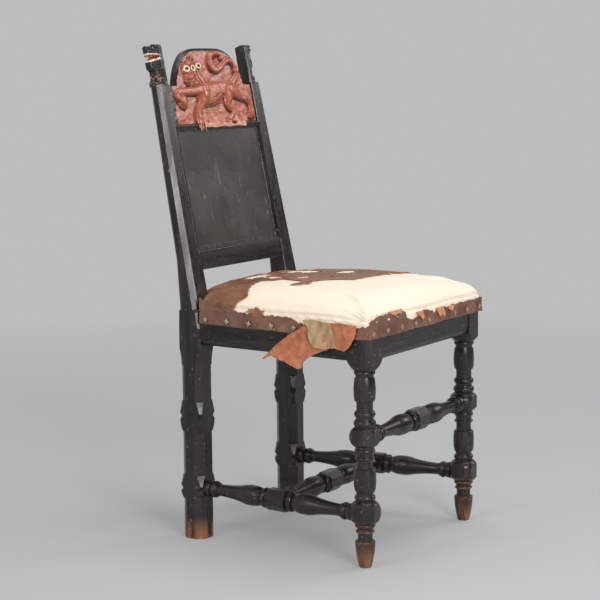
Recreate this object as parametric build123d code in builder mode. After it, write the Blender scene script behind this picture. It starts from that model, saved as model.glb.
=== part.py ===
from build123d import *
import os
from math import atan2, cos, degrees, radians, sin, sqrt, tan

# A joined side chair: turned front legs, raked back posts with carved heads,
# a panelled back under a carved crest board, turned stretchers and a stuffed seat.
# Millimetres, +Z up, the sitter faces -Y. The origin is on the floor, under the middle.

os.makedirs("parts", exist_ok=True)

# ---- Overall sizes ----
total_height = 1060.0
front_spread = 445.0
post_gap = 321.0
frame_depth = 434.0
leg_square = 54.0
post_square = 56.0

# ---- Rake of the back ----
rake_angle = 11.7
rake_start = 460.0
rake_back_start = 500.0
waist_height = 600.0
waist_depth = 36.5
head_height = 85.0
head_depth = 27.5
post_outer_taper = 18.5

# ---- Seat frame ----
rail_top = 493.0
rail_height = 68.0
rail_thickness = 24.0
rail_recess = 2.5
rail_bead = 12.0
rail_quirk = 2.0

# ---- Joints ----
tenon_thickness = 8.0
tenon_length = 24.0
tenon_shoulder = 8.0
joint_clearance = 0.2
peg_radius = 3.5
peg_clearance = 0.1
peg_beyond = 9.0
round_tenon_radius = 9.0
round_tenon_length = 22.0

# ---- Turned front legs ----
low_block_bottom = 91.0
low_block_top = 137.0
mid_block_bottom = 250.0
mid_block_top = 289.0
top_block_bottom = 405.0
block_shoulder = 14.0
top_block_shoulder = 30.0
block_bevel = 10.0
block_front_bevel = 16.0
top_block_bevel = 11.0
leg_arris = 1.0
floor_radius = 12.0

# ---- Stretchers ----
side_stretcher_height = 110.0
front_stretcher_height = 268.0
stretcher_square = 44.0
stretcher_bevel = 12.0
stretcher_block = 50.0
stretcher_shoulder = 7.0

# ---- Carved knops of the back posts ----
post_bevel = 14.5
seat_block_bevel = 5.0
seat_block_bottom = 378.0
seat_block_flare = 35.0
knop_ledge = 2.5
knop_swell = 8.0
knop_waist_depth = 4.5
mid_knop_top = 300.0
mid_knop_height = 66.0
mid_knop_waist = 33.0
low_knop_top = 139.0
low_knop_height = 52.0
low_knop_waist = 29.0
upper_bevel = 10.0
inner_arris = 1.5

# ---- Panelled back ----
panel_frame_bottom = 615.0
crest_height = 85.0
panel_drop = 7.5
panel_thickness = 6.5
panel_tongue = 6.0
panel_clearance = 0.2
moulding_width = 14.5
moulding_overlap = 7.5
moulding_bead = 4.5
lower_rail_bottom = 580.0
lower_rail_thickness = 22.0
crest_recess = 4.5
crest_thickness = 14.5
crest_drop = 3.0
arch_height = 80.0
arch_half_width = 139.0
arch_lean = 12.0
arch_lean_height = 28.0
arch_flat_half_width = 66.0
arch_swell = (106.0, 59.0)
arch_bevel_width = 7.0
arch_bevel_depth = 4.0
relief_height = 4.0
relief_sink = 1.0

# ---- Upholstery ----
web_width = 50.0
web_thickness = 1.8
web_gap = 0.2
tack_radius = 1.6
tack_head_radius = 4.0
tack_head = 1.0
tack_length = 10.0
base_cloth_thickness = 1.0
cover_gap = 0.3
linen_thickness = 1.1
leather_thickness = 1.5
band_bottom = 470.0
band_top = 505.0
band_thickness = 2.0
cushion_base_edge = 508.0
cushion_bulge = 522.0
cushion_swell = 1.0
cushion_shoulder = 537.0
cushion_crown = 551.0
cushion_corner = 16.0
cushion_inset = 2.4
cover_post_gap = 1.0
nail_height = 482.0
nail_size = 13.0
nail_head = 1.6
nail_shank_radius = 1.2
nail_shank_length = 13.0
nail_taper = 62.0
nail_spacing = 59.5
side_nail_spacing = 58.0
side_nail_first = 40.0
flap_lean = 7.0

# ---- Worked out from the sizes above ----
rake = radians(rake_angle)
slope = tan(rake)
head_shoulder = total_height - head_height
crest_shoulder = head_shoulder - crest_drop
panel_frame_top = crest_shoulder - crest_height
half_leg = leg_square / 2
half_post = post_square / 2
leg_x = front_spread / 2
post_inner_x = post_gap / 2
post_x = post_inner_x + half_post
post_outer_x = post_inner_x + post_square
cover_front = half_leg + cover_gap + band_thickness + nail_head
back_reach = frame_depth - half_post + (total_height - rake_start) * slope + head_depth / cos(rake)
front_y = (cover_front - back_reach) / 2
post_y = front_y + frame_depth
post_front_y = post_y - half_post
post_back_y = post_y + half_post
leg_front_y = front_y - half_leg
leg_back_y = front_y + half_leg
leg_inner_x = leg_x - half_leg
leg_outer_x = leg_x + half_leg
rail_bottom = rail_top - rail_height
rail_mid_z = (rail_top + rail_bottom) / 2
tenon_height = rail_height - 2 * tenon_shoulder
SIDES = (("left", -1), ("right", 1))


def back_plane(depth=0.0):
    """The raked front face of the back, moved backwards by depth: x across, y up the slope."""
    normal = Vector(0, -cos(rake), sin(rake))
    origin = Vector(0, post_front_y, rake_start) - normal * depth
    return Plane(origin=origin, x_dir=(1, 0, 0), z_dir=normal)


def up(height, depth=0.0):
    """Distance up the raked face for a height above the floor, at a depth behind that face."""
    return (height - rake_start + depth * sin(rake)) / cos(rake)


def front_of_post(height):
    """Y of the back post's front face at a height."""
    return post_front_y + max(0.0, height - rake_start) * slope


# ---- Joinery shared by the frame's pieces ----


def joint_plane(x, y, z, into, peg_side):
    """A joint at its shoulder: z runs into the mortised piece, x towards the face its pegs enter."""
    return Plane(origin=(x, y, z), x_dir=peg_side, z_dir=into)


def add_tenon(joint, height):
    with BuildSketch(joint) as tenon:
        Rectangle(tenon_thickness, height)
    extrude(tenon.sketch, amount=tenon_length)


def cut_mortise(joint, height):
    with BuildSketch(joint) as mortise:
        Rectangle(tenon_thickness + 2 * joint_clearance, height + 2 * joint_clearance)
    extrude(mortise.sketch, amount=tenon_length + joint_clearance, mode=Mode.SUBTRACT)


def peg_planes(joint, reach, heights):
    """Planes on the outer face where the pegs of a joint enter; z runs outwards."""
    planes = []
    for height in heights:
        along = joint.z_dir * (tenon_length / 2)
        origin = joint.origin + along + joint.y_dir * height + joint.x_dir * reach
        planes.append(Plane(origin=origin, x_dir=joint.y_dir, z_dir=joint.x_dir))
    return planes


def peg_depth(reach):
    return reach + peg_beyond


def cut_pegs(joint, reach, heights):
    with BuildSketch(*peg_planes(joint, reach, heights)) as pegs:
        Circle(peg_radius + peg_clearance)
    extrude(pegs.sketch, amount=-peg_depth(reach) - joint_clearance, mode=Mode.SUBTRACT)


def add_pegs(joint, reach, heights):
    with BuildSketch(*peg_planes(joint, reach, heights)) as pegs:
        Circle(peg_radius)
    extrude(pegs.sketch, amount=-peg_depth(reach))


def cut_round_mortise(joint):
    with BuildSketch(joint) as mortise:
        Circle(round_tenon_radius + joint_clearance)
    extrude(mortise.sketch, amount=round_tenon_length + joint_clearance, mode=Mode.SUBTRACT)
    extrude(mortise.sketch, amount=-leg_square / 8, mode=Mode.SUBTRACT)


def cut_nail_hole(plane):
    with BuildSketch(plane) as hole:
        Circle(nail_shank_radius + peg_clearance)
    extrude(hole.sketch, amount=-nail_shank_length, mode=Mode.SUBTRACT)


rail_peg_heights = (-tenon_height / 4, tenon_height / 4)
rail_mid_inset = rail_recess + rail_thickness / 2
rail_peg_reach = rail_mid_inset
rear_rail_y = post_y - rail_recess / 2
rear_rail_reach = post_back_y - rear_rail_y


def front_rail_joint(side):
    y = leg_front_y + rail_mid_inset
    return joint_plane(side * leg_inner_x, y, rail_mid_z, (side, 0, 0), (0, -1, 0))


def side_rail_front_joint(side):
    x = leg_outer_x - rail_mid_inset
    return joint_plane(side * x, leg_back_y, rail_mid_z, (0, -1, 0), (side, 0, 0))


def side_rail_back_joint(side):
    x = post_outer_x - rail_mid_inset
    return joint_plane(side * x, post_front_y, rail_mid_z, (0, 1, 0), (side, 0, 0))


def rear_rail_joint(side):
    return joint_plane(side * post_inner_x, rear_rail_y, rail_mid_z, (side, 0, 0), (0, 1, 0))


# The back's own joints lie in the raked plane. Their pegs enter from the front face.
lower_rail_mid = (lower_rail_bottom + panel_frame_bottom) / 2
lower_rail_tenon = panel_frame_bottom - lower_rail_bottom - tenon_shoulder
crest_tenon_top = crest_shoulder - 2 * tenon_shoulder
crest_tenon_bottom = panel_frame_top + tenon_shoulder
crest_tenon_mid = (crest_tenon_top + crest_tenon_bottom) / 2
crest_tenon_height = crest_tenon_top - crest_tenon_bottom
crest_tenon_depth = crest_recess + crest_thickness / 2
crest_peg_heights = (-crest_tenon_height / 4, crest_tenon_height / 4)
lower_rail_depth = lower_rail_thickness / 2


def back_joint(side, height, depth):
    plane = back_plane()
    origin = plane.from_local_coords(Vector(side * post_inner_x, up(height), -depth))
    return Plane(origin=origin, x_dir=plane.z_dir, z_dir=(side, 0, 0))


# ---- Turned work ----


def draw_turning(elements, start, end):
    """Draw a turned outline inside a BuildLine: x is the radius, y runs along the axis.

    Each element is (length, first radius, middle radius, last radius).
    The one whose length is None takes up what the others leave.
    """
    spare = (end - start) - sum(length for length, *_ in elements if length)
    at = start
    last = None
    for length, first, middle, final in elements:
        span = length or spare
        begin = (first, at)
        if last and abs(last[0] - first) > 0.01:
            Line(last, begin)
        finish = (final, at + span)
        if abs(middle - (first + final) / 2) < 0.01:
            Line(begin, finish)
        else:
            ThreePointArc(begin, (middle, at + span / 2), finish)
        at = at + span
        last = finish
    return last


def cut_turning(plane, elements, start, end, reach):
    """Turn away the waste outside an outline between two places along the plane's y axis."""
    with BuildSketch(plane) as waste:
        with BuildLine():
            last = draw_turning(elements, start, end)
            Line(last, (reach, last[1]))
            Line((reach, last[1]), (reach, start))
            Line((reach, start), (elements[0][1], start))
        make_face()
    revolve(waste.sketch, axis=Axis(plane.origin, plane.y_dir), mode=Mode.SUBTRACT)


# Elements are (length, first radius, middle radius, last radius), upwards from the floor.
lathe_reach = leg_square
octagon_radius = 31.0
collar_radius = 21.0
foot_turning = [
    (None, floor_radius, 18.2, 20.7),
    (4.0, 20.7, 20.4, 17.0),
    (16.0, 15.6, 15.0, 15.6),
    (5.0, 17.5, 19.4, 17.5),
    (6.0, 17.0, 16.4, 17.0),
    (8.0, 18.5, 20.9, 18.8),
    (block_shoulder, collar_radius, 28.4, octagon_radius),
]
lower_turning = [
    (block_shoulder, octagon_radius, 28.4, collar_radius),
    (2.0, 19.0, 19.0, 19.0),
    (11.0, 19.0, 21.4, 19.0),
    (4.0, 17.6, 17.2, 17.6),
    (12.0, 17.7, 20.8, 22.2),
    (None, 22.2, 23.0, 21.7),
    (2.5, 21.7, 20.8, 18.5),
    (18.0, 16.9, 16.3, 16.9),
    (6.0, 18.3, 20.6, 18.3),
    (8.0, 17.8, 17.4, 17.8),
    (9.0, 18.8, 21.0, 18.8),
    (4.0, 19.4, 19.4, 19.4),
    (block_shoulder, collar_radius, 28.4, octagon_radius),
]
upper_turning = [
    (block_shoulder, octagon_radius, 28.6, collar_radius),
    (2.0, 20.0, 20.0, 20.0),
    (13.0, 20.2, 22.9, 20.2),
    (7.0, 18.6, 18.1, 18.6),
    (11.0, 19.4, 21.8, 19.4),
    (21.0, 17.4, 16.8, 17.4),
    (2.5, 18.6, 20.8, 21.3),
    (None, 21.3, 22.6, 20.4),
    (7.0, 19.0, 18.4, 19.0),
    (8.0, 19.8, 21.8, 20.0),
    (top_block_shoulder, 21.6, 33.6, 39.5),
]
stretcher_reach = stretcher_square
# Elements of half a stretcher, outwards from its middle block.
stretcher_turning = [
    (stretcher_shoulder, 28.0, 25.4, 19.5),
    (2.5, 17.0, 17.0, 17.0),
    (12.0, 18.4, 21.4, 18.4),
    (3.0, 15.6, 15.6, 15.6),
    (22.0, 16.6, 20.4, 21.6),
    (34.0, 21.6, 21.4, 17.8),
    (None, 17.8, 14.0, 12.6),
    (4.0, 14.4, 15.2, 14.4),
    (11.0, 15.6, 18.2, 15.6),
    (3.0, 14.0, 14.0, 14.0),
    (17.0, 16.4, 18.0, 17.4),
]


def turn_stretcher(middle, direction, length):
    """Turn one stretcher in the active part: bevelled stock around its middle block, thin arms."""
    across = Vector(0, 0, 1)
    axis_plane = Plane(origin=middle, x_dir=across, z_dir=across.cross(direction))
    end_plane = Plane(origin=middle, x_dir=across, z_dir=direction)
    with BuildSketch(end_plane) as stock:
        Rectangle(stretcher_square, stretcher_square)
        chamfer(stock.vertices(), stretcher_bevel)
    extrude(stock.sketch, amount=length / 2, both=True)
    block_end = stretcher_block / 2 - stretcher_shoulder
    cut_turning(axis_plane, stretcher_turning, block_end, length / 2 + 1, stretcher_reach)
    flipped = Plane(origin=middle, x_dir=across, z_dir=-axis_plane.z_dir)
    cut_turning(flipped, stretcher_turning, block_end, length / 2 + 1, stretcher_reach)


def add_round_tenon(joint):
    with BuildSketch(joint) as tenon:
        Circle(round_tenon_radius)
    extrude(tenon.sketch, amount=round_tenon_length)
    extrude(tenon.sketch, amount=-stretcher_square / 4)


# The side stretchers lean in with the seat: they run from the front legs to the back posts.
side_run = Vector(post_x - leg_x, frame_depth, 0).normalized()
side_mid_y = (leg_back_y + post_front_y) / 2


def side_line_x(y):
    """Distance from the middle of the chair to a side stretcher's axis."""
    return leg_x + (y - front_y) * (post_x - leg_x) / frame_depth


def side_stretcher_joint(side, y, sense):
    run = Vector(side * side_run.X, side_run.Y, 0) * sense
    x = side * side_line_x(y)
    return Plane(origin=(x, y, side_stretcher_height), x_dir=(0, 0, 1), z_dir=run)


def front_stretcher_joint(side):
    origin = (side * leg_inner_x, front_y, front_stretcher_height)
    return Plane(origin=origin, x_dir=(0, 0, 1), z_dir=(side, 0, 0))


# The inner faces of the side stretchers' blocks carry the medial stretcher.
block_normal = Vector(side_run.Y, -side_run.X, 0)
medial_end_x = side_line_x(side_mid_y) - stretcher_square / 2 / side_run.Y


def medial_joint(side):
    origin = (side * medial_end_x, side_mid_y, side_stretcher_height)
    return Plane(origin=origin, x_dir=(0, 0, 1), z_dir=(side, 0, 0))


# ---- Front legs ----
# Each is one piece: square blocks where rails and stretchers enter, turned between them.
stock_change = (mid_block_top + top_block_bottom) / 2


def draw_leg_section(side, front_bevel, bevel):
    """Square section of a front leg, its outer front corner bevelled more than the others."""
    half = half_leg
    corners = [
        (side * (half - front_bevel), -half),
        (side * half, front_bevel - half),
        (side * half, half - bevel),
        (side * (half - bevel), half),
        (side * (bevel - half), half),
        (-side * half, half - bevel),
        (-side * half, bevel - half),
        (side * (bevel - half), -half),
    ]
    with BuildLine() as outline:
        Polyline(*corners, close=True)
    make_face(outline.edges())


front_nail_x = [nail_spacing * step for step in range(-4, 5)]
back_nail_x = [nail_spacing * step for step in range(-2, 3)]
for name, side in SIDES:
    leg_axis = Plane(origin=(side * leg_x, front_y, 0), x_dir=(1, 0, 0), z_dir=(0, -1, 0))
    stock = Plane(origin=(side * leg_x, front_y, 0))
    with BuildPart() as front_leg:
        with BuildSketch(stock):
            draw_leg_section(side, block_front_bevel, block_bevel)
        extrude(amount=stock_change)
        with BuildSketch(stock.offset(stock_change)):
            draw_leg_section(side, top_block_bevel, leg_arris)
        extrude(amount=rail_top - stock_change)
        foot_end = low_block_bottom + block_shoulder
        cut_turning(leg_axis, foot_turning, 0, foot_end, lathe_reach)
        low_start = low_block_top - block_shoulder
        low_end = mid_block_bottom + block_shoulder
        cut_turning(leg_axis, lower_turning, low_start, low_end, lathe_reach)
        high_start = mid_block_top - block_shoulder
        high_end = top_block_bottom + top_block_shoulder
        cut_turning(leg_axis, upper_turning, high_start, high_end, lathe_reach)
        cut_mortise(front_rail_joint(side), tenon_height)
        cut_mortise(side_rail_front_joint(side), tenon_height)
        cut_pegs(front_rail_joint(side), rail_peg_reach, rail_peg_heights)
        cut_pegs(side_rail_front_joint(side), rail_peg_reach, rail_peg_heights)
        cut_round_mortise(front_stretcher_joint(side))
        cut_round_mortise(side_stretcher_joint(side, leg_back_y, -1))
        nail_x = max(front_nail_x) * side
        cut_nail_hole(Plane(origin=(nail_x, leg_front_y, nail_height), z_dir=(0, -1, 0)))
    front_leg.part.label = f"front_leg_{name}"
    export_step(front_leg.part, f"parts/front_leg_{name}.step")


# ---- Back posts ----
# One piece from the floor to the head: bevelled below the seat, with the square left
# in carved knops, then raked and tapering, and carved as an open-mouthed head on top.
corner_full = half_post * sqrt(2)
shaft_reach = corner_full - post_bevel / sqrt(2)
block_reach = corner_full - seat_block_bevel / sqrt(2)
waste_reach = corner_full + 20.0


def draw_knop(top, height, waist):
    """Outline of one knop downwards, in a corner's diagonal plane: two lobes and a waist."""
    ledge = shaft_reach + knop_ledge
    crown = shaft_reach + knop_swell
    neck = crown - knop_waist_depth
    lip = 0.12 * height
    middle = top - waist
    bottom = top - height
    Line((shaft_reach, top), (ledge, top))
    ThreePointArc((ledge, top), (crown - 2.2, top - 0.5 * waist), (crown, middle + lip))
    Line((crown, middle + lip), (neck, middle))
    Line((neck, middle), (crown, middle - lip))
    low_middle = (middle - lip + bottom) / 2
    ThreePointArc((crown, middle - lip), (crown - 1.6, low_middle), (ledge, bottom))
    Line((ledge, bottom), (shaft_reach, bottom))


# Head in profile, outwards from the post's inner face and up from the head's shoulder.
head_top = (total_height - head_shoulder) / cos(rake)
post_top_width = post_square - post_outer_taper
neck_out = 25.0
jaw_out = 37.5
mouth_in = 14.0
mouth_low = 52.0
mouth_high = 70.0
mouth_taper = 4.0
chin_low = 35.0
brow_out = 24.0
skull_back = 1.0
# The muzzle points outwards and back, so its front corner is cut well away.
muzzle_cut_width = 23.0
muzzle_cut_depth = 14.6
head_bevel = 6.0
head_skin = 0.4
# The neck keeps a bevel on its outer front corner: its low end, its high end and the
# width of the flat that is left on the neck's front.
neck_bevels = ((3.0, 9.0, 18.8), (9.0, 34.0, 10.6))
bevel_slant = 1.62
# The crown is cut down behind the nose along a line from corner to corner.
crown_cut_low = 80.0
crown_cut_across = 48.0


def draw_head():
    """Closed outline of the head: neck, chin, open mouth, nose, brow and the back of the skull."""
    neck_end = (neck_out, chin_low - 4)
    chin = (jaw_out - 2.5, chin_low + 3)
    lip = (jaw_out, mouth_low - 5)
    brow = (brow_out, head_top - 2.0)
    crown = (skull_back + 11, head_top)
    nape = (skull_back, head_top - 14)
    Line((0, 0), (post_top_width, 0))
    Line((post_top_width, 0), (post_top_width, 3))
    ThreePointArc((post_top_width, 3), (neck_out + 1, 11), neck_end)
    ThreePointArc(neck_end, (jaw_out - 6, chin_low), chin)
    Line(chin, lip)
    Line(lip, (jaw_out - 2, mouth_low))
    Line((jaw_out - 2, mouth_low), (mouth_in, mouth_low + mouth_taper))
    Line((mouth_in, mouth_low + mouth_taper), (mouth_in, mouth_high - mouth_taper))
    Line((mouth_in, mouth_high - mouth_taper), (jaw_out - 2, mouth_high))
    Line((jaw_out - 2, mouth_high), (jaw_out, mouth_high + 3))
    ThreePointArc((jaw_out, mouth_high + 3), (jaw_out - 3, head_top - 5), (brow_out + 5, head_top - 7))
    Line((brow_out + 5, head_top - 7), brow)
    Line(brow, crown)
    ThreePointArc(crown, (skull_back + 3, head_top - 5), nape)
    Line(nape, (skull_back, 0.4 * head_top))
    Line((skull_back, 0.4 * head_top), (0, 4))
    Line((0, 4), (0, 0))


def draw_post_section(height, depth, outer_x, outer_bevel):
    """Cross-section of a raked post at a height, with bevelled outer corners."""
    front = front_of_post(height)
    middle_y = front + depth / 2
    middle_x = (post_inner_x + outer_x) / 2
    half_w = (outer_x - post_inner_x) / 2
    half_d = depth / 2
    inner = seat_block_bevel if height <= rake_start else inner_arris
    points = [
        (-half_w, half_d - inner),
        (-half_w, inner - half_d),
        (inner - half_w, -half_d),
        (half_w - outer_bevel, -half_d),
        (half_w, outer_bevel - half_d),
        (half_w, half_d - outer_bevel),
        (half_w - outer_bevel, half_d),
        (inner - half_w, half_d),
    ]
    with BuildLine() as outline:
        Polyline(*[(x + middle_x, y + middle_y) for x, y in points], close=True)
    make_face(outline.edges())


def outer_x_at(height):
    share = (height - rake_start) / (head_shoulder - rake_start)
    return post_outer_x - post_outer_taper * share


seat_block_top = rake_start + 34.0
block_top_depth = post_back_y - front_of_post(seat_block_top)
shaft_low_depth = post_back_y - front_of_post(rake_back_start)
post_sections = [
    (rake_start, post_square, seat_block_bevel),
    (seat_block_top, block_top_depth, seat_block_bevel),
    (rake_back_start, shaft_low_depth, upper_bevel),
    (waist_height, waist_depth, upper_bevel),
    (head_shoulder, head_depth / cos(rake), upper_bevel - 2),
]

for name, side in SIDES:
    # The right post is drawn, and the left one is its mirror image.
    with BuildPart() as back_post:
        with BuildSketch(Plane(origin=(post_x, post_y, 0))):
            Rectangle(post_square, post_square)
        extrude(amount=rake_start)
        for quarter in range(4):
            turn = radians(45 + 90 * quarter)
            diagonal = Vector(cos(turn), sin(turn), 0)
            normal = diagonal.cross(Vector(0, 0, 1))
            with BuildSketch(Plane(origin=(post_x, post_y, 0), x_dir=diagonal, z_dir=normal)):
                with BuildLine():
                    flare_top = seat_block_bottom + seat_block_flare
                    step = shaft_reach + knop_ledge
                    Line((waste_reach, rake_start), (block_reach, rake_start))
                    Line((block_reach, rake_start), (block_reach, flare_top))
                    hollow = (step + 0.6, seat_block_bottom + seat_block_flare / 2)
                    ThreePointArc((block_reach, flare_top), hollow, (step - 0.5, seat_block_bottom))
                    Line((step - 0.5, seat_block_bottom), (shaft_reach, seat_block_bottom))
                    Line((shaft_reach, seat_block_bottom), (shaft_reach, mid_knop_top))
                    draw_knop(mid_knop_top, mid_knop_height, mid_knop_waist)
                    Line((shaft_reach, mid_knop_top - mid_knop_height), (shaft_reach, low_knop_top))
                    draw_knop(low_knop_top, low_knop_height, low_knop_waist)
                    Line((shaft_reach, low_knop_top - low_knop_height), (shaft_reach, 0))
                    Line((shaft_reach, 0), (waste_reach, 0))
                    Line((waste_reach, 0), (waste_reach, rake_start))
                make_face()
            extrude(amount=post_square, both=True, mode=Mode.SUBTRACT)
        for height, depth, bevel in post_sections:
            with BuildSketch(Plane.XY.offset(height)):
                draw_post_section(height, depth, outer_x_at(height), bevel)
        loft(ruled=True)
        # The head is cut from the post's full depth, and its corners are rounded off.
        head_plane = back_plane()
        neck_x = Vector(post_inner_x, up(head_shoulder), 0)
        with BuildSketch(Plane(head_plane.from_local_coords(neck_x), head_plane.x_dir, head_plane.z_dir)):
            with BuildLine():
                draw_head()
            make_face()
        extrude(amount=-head_depth)
        rounding = Plane(head_plane.from_local_coords(neck_x), (1, 0, 0), head_plane.y_dir)
        with BuildSketch(rounding):
            Rectangle(3 * post_square, 3 * post_square)
            with BuildLine():
                muzzle_out = jaw_out + 1.5
                head_front = -head_skin
                head_back = head_depth + head_skin
                Polyline(
                    (-2.0, head_back),
                    (-2.0, head_front + head_bevel),
                    (head_bevel - 2.0, head_front),
                    (muzzle_out - muzzle_cut_width, head_front),
                    (muzzle_out, head_front + muzzle_cut_depth + head_skin),
                    (muzzle_out, head_back - head_bevel),
                    (muzzle_out - head_bevel, head_back),
                    close=True,
                )
            make_face(mode=Mode.SUBTRACT)
        extrude(amount=head_top, mode=Mode.SUBTRACT)
        for bevel_low, bevel_high, neck_flat in neck_bevels:
            with BuildSketch(rounding.offset(bevel_low)):
                with BuildLine():
                    Polyline(
                        (neck_flat, -3.0),
                        (neck_flat, 0),
                        (neck_flat + 12 * bevel_slant, 12),
                        (post_square, 12),
                        (post_square, -3.0),
                        close=True,
                    )
                make_face()
            extrude(amount=bevel_high - bevel_low, mode=Mode.SUBTRACT)
        with BuildSketch(rounding.offset(crown_cut_low)):
            with BuildLine():
                Polyline(
                    (crown_cut_across, 0),
                    (crown_cut_across - bevel_slant * (head_depth + 3), head_depth + 3),
                    (crown_cut_across, head_depth + 3),
                    close=True,
                )
            make_face()
        extrude(amount=head_top, mode=Mode.SUBTRACT)
        # Rebate for the panel's mouldings and groove for the panel.
        with BuildSketch(head_plane):
            with Locations((post_inner_x, (up(panel_frame_bottom) + up(panel_frame_top)) / 2)):
                Rectangle(2 * moulding_overlap, up(panel_frame_top) - up(panel_frame_bottom))
        extrude(amount=-panel_drop, mode=Mode.SUBTRACT)
        groove_low = up(panel_frame_bottom)
        groove_high = up(panel_frame_top)
        groove_width = panel_tongue + panel_clearance
        with BuildSketch(back_plane(panel_drop)):
            with Locations((post_inner_x, (groove_low + groove_high) / 2)):
                Rectangle(2 * groove_width, groove_high - groove_low)
        extrude(amount=-(panel_thickness + panel_clearance), mode=Mode.SUBTRACT)
        cut_mortise(side_rail_back_joint(1), tenon_height)
        cut_pegs(side_rail_back_joint(1), rail_peg_reach, rail_peg_heights)
        cut_mortise(rear_rail_joint(1), tenon_height)
        cut_pegs(rear_rail_joint(1), rear_rail_reach, rail_peg_heights)
        cut_mortise(back_joint(1, lower_rail_mid, lower_rail_depth), lower_rail_tenon)
        cut_pegs(back_joint(1, lower_rail_mid, lower_rail_depth), lower_rail_depth, (0,))
        cut_mortise(back_joint(1, crest_tenon_mid, crest_tenon_depth), crest_tenon_height)
        cut_pegs(back_joint(1, crest_tenon_mid, crest_tenon_depth), crest_tenon_depth, crest_peg_heights)
        cut_round_mortise(side_stretcher_joint(1, post_front_y, 1))
        if side < 0:
            mirror(about=Plane.YZ, mode=Mode.REPLACE)
    back_post.part.label = f"back_post_{name}"
    export_step(back_post.part, f"parts/back_post_{name}.step")


# ---- Seat rails ----


def draw_rail_section():
    """Section of a seat rail: x outwards from its outer face, y up. The lower edge is moulded."""
    quirk_z = rail_bottom + rail_bead
    bead_in = rail_bead * 0.45
    Line((-rail_thickness, rail_top), (-rail_thickness, rail_bottom))
    Line((-rail_thickness, rail_bottom), (-bead_in - rail_quirk, rail_bottom))
    bulge = (-rail_quirk - 0.12 * rail_bead, rail_bottom + rail_bead * 0.4)
    ThreePointArc((-bead_in - rail_quirk, rail_bottom), bulge, (-rail_quirk, quirk_z))
    Line((-rail_quirk, quirk_z), (0, quirk_z + rail_quirk / 2))
    Line((0, quirk_z + rail_quirk / 2), (0, rail_top))
    Line((0, rail_top), (-rail_thickness, rail_top))


# The side rails' outer faces run a little inside the line from leg to post.
side_face_run = Vector(post_outer_x - leg_outer_x, post_front_y - leg_back_y, 0).normalized()

# Girth webs lie on the rails and are tacked to them; a cloth and the stuffing lie on the webs.
web_low = rail_top
web_high = rail_top + web_thickness + web_gap
cloth_base = web_high + web_thickness + tack_head + web_gap
stuffing_base = cloth_base + base_cloth_thickness + web_gap
seat_back_y = rear_rail_y + rail_thickness / 2
web_inset = 4.0
web_x = (-100.0, 0.0, 100.0)
web_y = [leg_back_y + (post_front_y - leg_back_y) * share for share in (0.2, 0.5, 0.8)]


def seat_half_width(y):
    """Half of the seat's width over the legs and posts, at a distance back."""
    run = max(y, leg_back_y) - leg_back_y
    return leg_outer_x + run * side_face_run.X / side_face_run.Y


front_tacks = []
back_tacks = []
side_tacks = []
for x in web_x:
    for shift in (-web_width / 4, web_width / 4):
        front_tacks.append((x + shift, leg_front_y + rail_mid_inset, web_low))
        back_tacks.append((x + shift, rear_rail_y, web_low))
for y in web_y:
    for name, side in SIDES:
        for shift in (-web_width / 4, web_width / 4):
            side_tacks.append((side * (seat_half_width(y) - rail_mid_inset), y + shift, web_high))


def cut_tack_holes(points):
    for x, y, z in points:
        with BuildSketch(Plane(origin=(x, y, z + web_thickness))) as hole:
            Circle(tack_radius + peg_clearance)
        extrude(hole.sketch, amount=-tack_length - joint_clearance, mode=Mode.SUBTRACT)


with BuildPart() as front_rail:
    section = Plane(origin=(0, leg_front_y + rail_recess, 0), x_dir=(0, -1, 0), z_dir=(-1, 0, 0))
    with BuildSketch(section):
        with BuildLine():
            draw_rail_section()
        make_face()
    extrude(amount=leg_inner_x, both=True)
    for name, side in SIDES:
        add_tenon(front_rail_joint(side), tenon_height)
        cut_pegs(front_rail_joint(side), rail_peg_reach, rail_peg_heights)
    for x in front_nail_x[1:-1]:
        cut_nail_hole(Plane(origin=(x, leg_front_y + rail_recess, nail_height), z_dir=(0, -1, 0)))
    cut_tack_holes(front_tacks)
front_rail.part.label = "front_rail"
export_step(front_rail.part, "parts/front_rail.step")

with BuildPart() as rear_rail:
    with BuildSketch(Plane(origin=(0, rear_rail_y, rail_mid_z), x_dir=(0, 1, 0), z_dir=(1, 0, 0))):
        Rectangle(rail_thickness, rail_height)
    extrude(amount=post_inner_x, both=True)
    for name, side in SIDES:
        add_tenon(rear_rail_joint(side), tenon_height)
        cut_pegs(rear_rail_joint(side), rear_rail_reach, rail_peg_heights)
    for x in back_nail_x:
        cut_nail_hole(Plane(origin=(x, seat_back_y, nail_height), z_dir=(0, 1, 0)))
    cut_tack_holes(back_tacks)
rear_rail.part.label = "rear_rail"
export_step(rear_rail.part, "parts/rear_rail.step")

side_nail_y = []
nail_at = leg_front_y + half_leg + side_nail_first
while nail_at < post_front_y - nail_size:
    side_nail_y.append(nail_at)
    nail_at = nail_at + side_nail_spacing


def side_face_point(side, y, out, z):
    """A point at a height on a side of the seat, out from the line from leg to post."""
    x = leg_outer_x + (y - leg_back_y) * side_face_run.X / side_face_run.Y
    normal = Vector(side * side_face_run.Y, -side_face_run.X, 0)
    return Vector(side * x, y, z) + normal * out


def side_nail_plane(side, y, out):
    normal = Vector(side * side_face_run.Y, -side_face_run.X, 0)
    return Plane(origin=side_face_point(side, y, out, nail_height), x_dir=(0, 0, 1), z_dir=normal)


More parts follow.
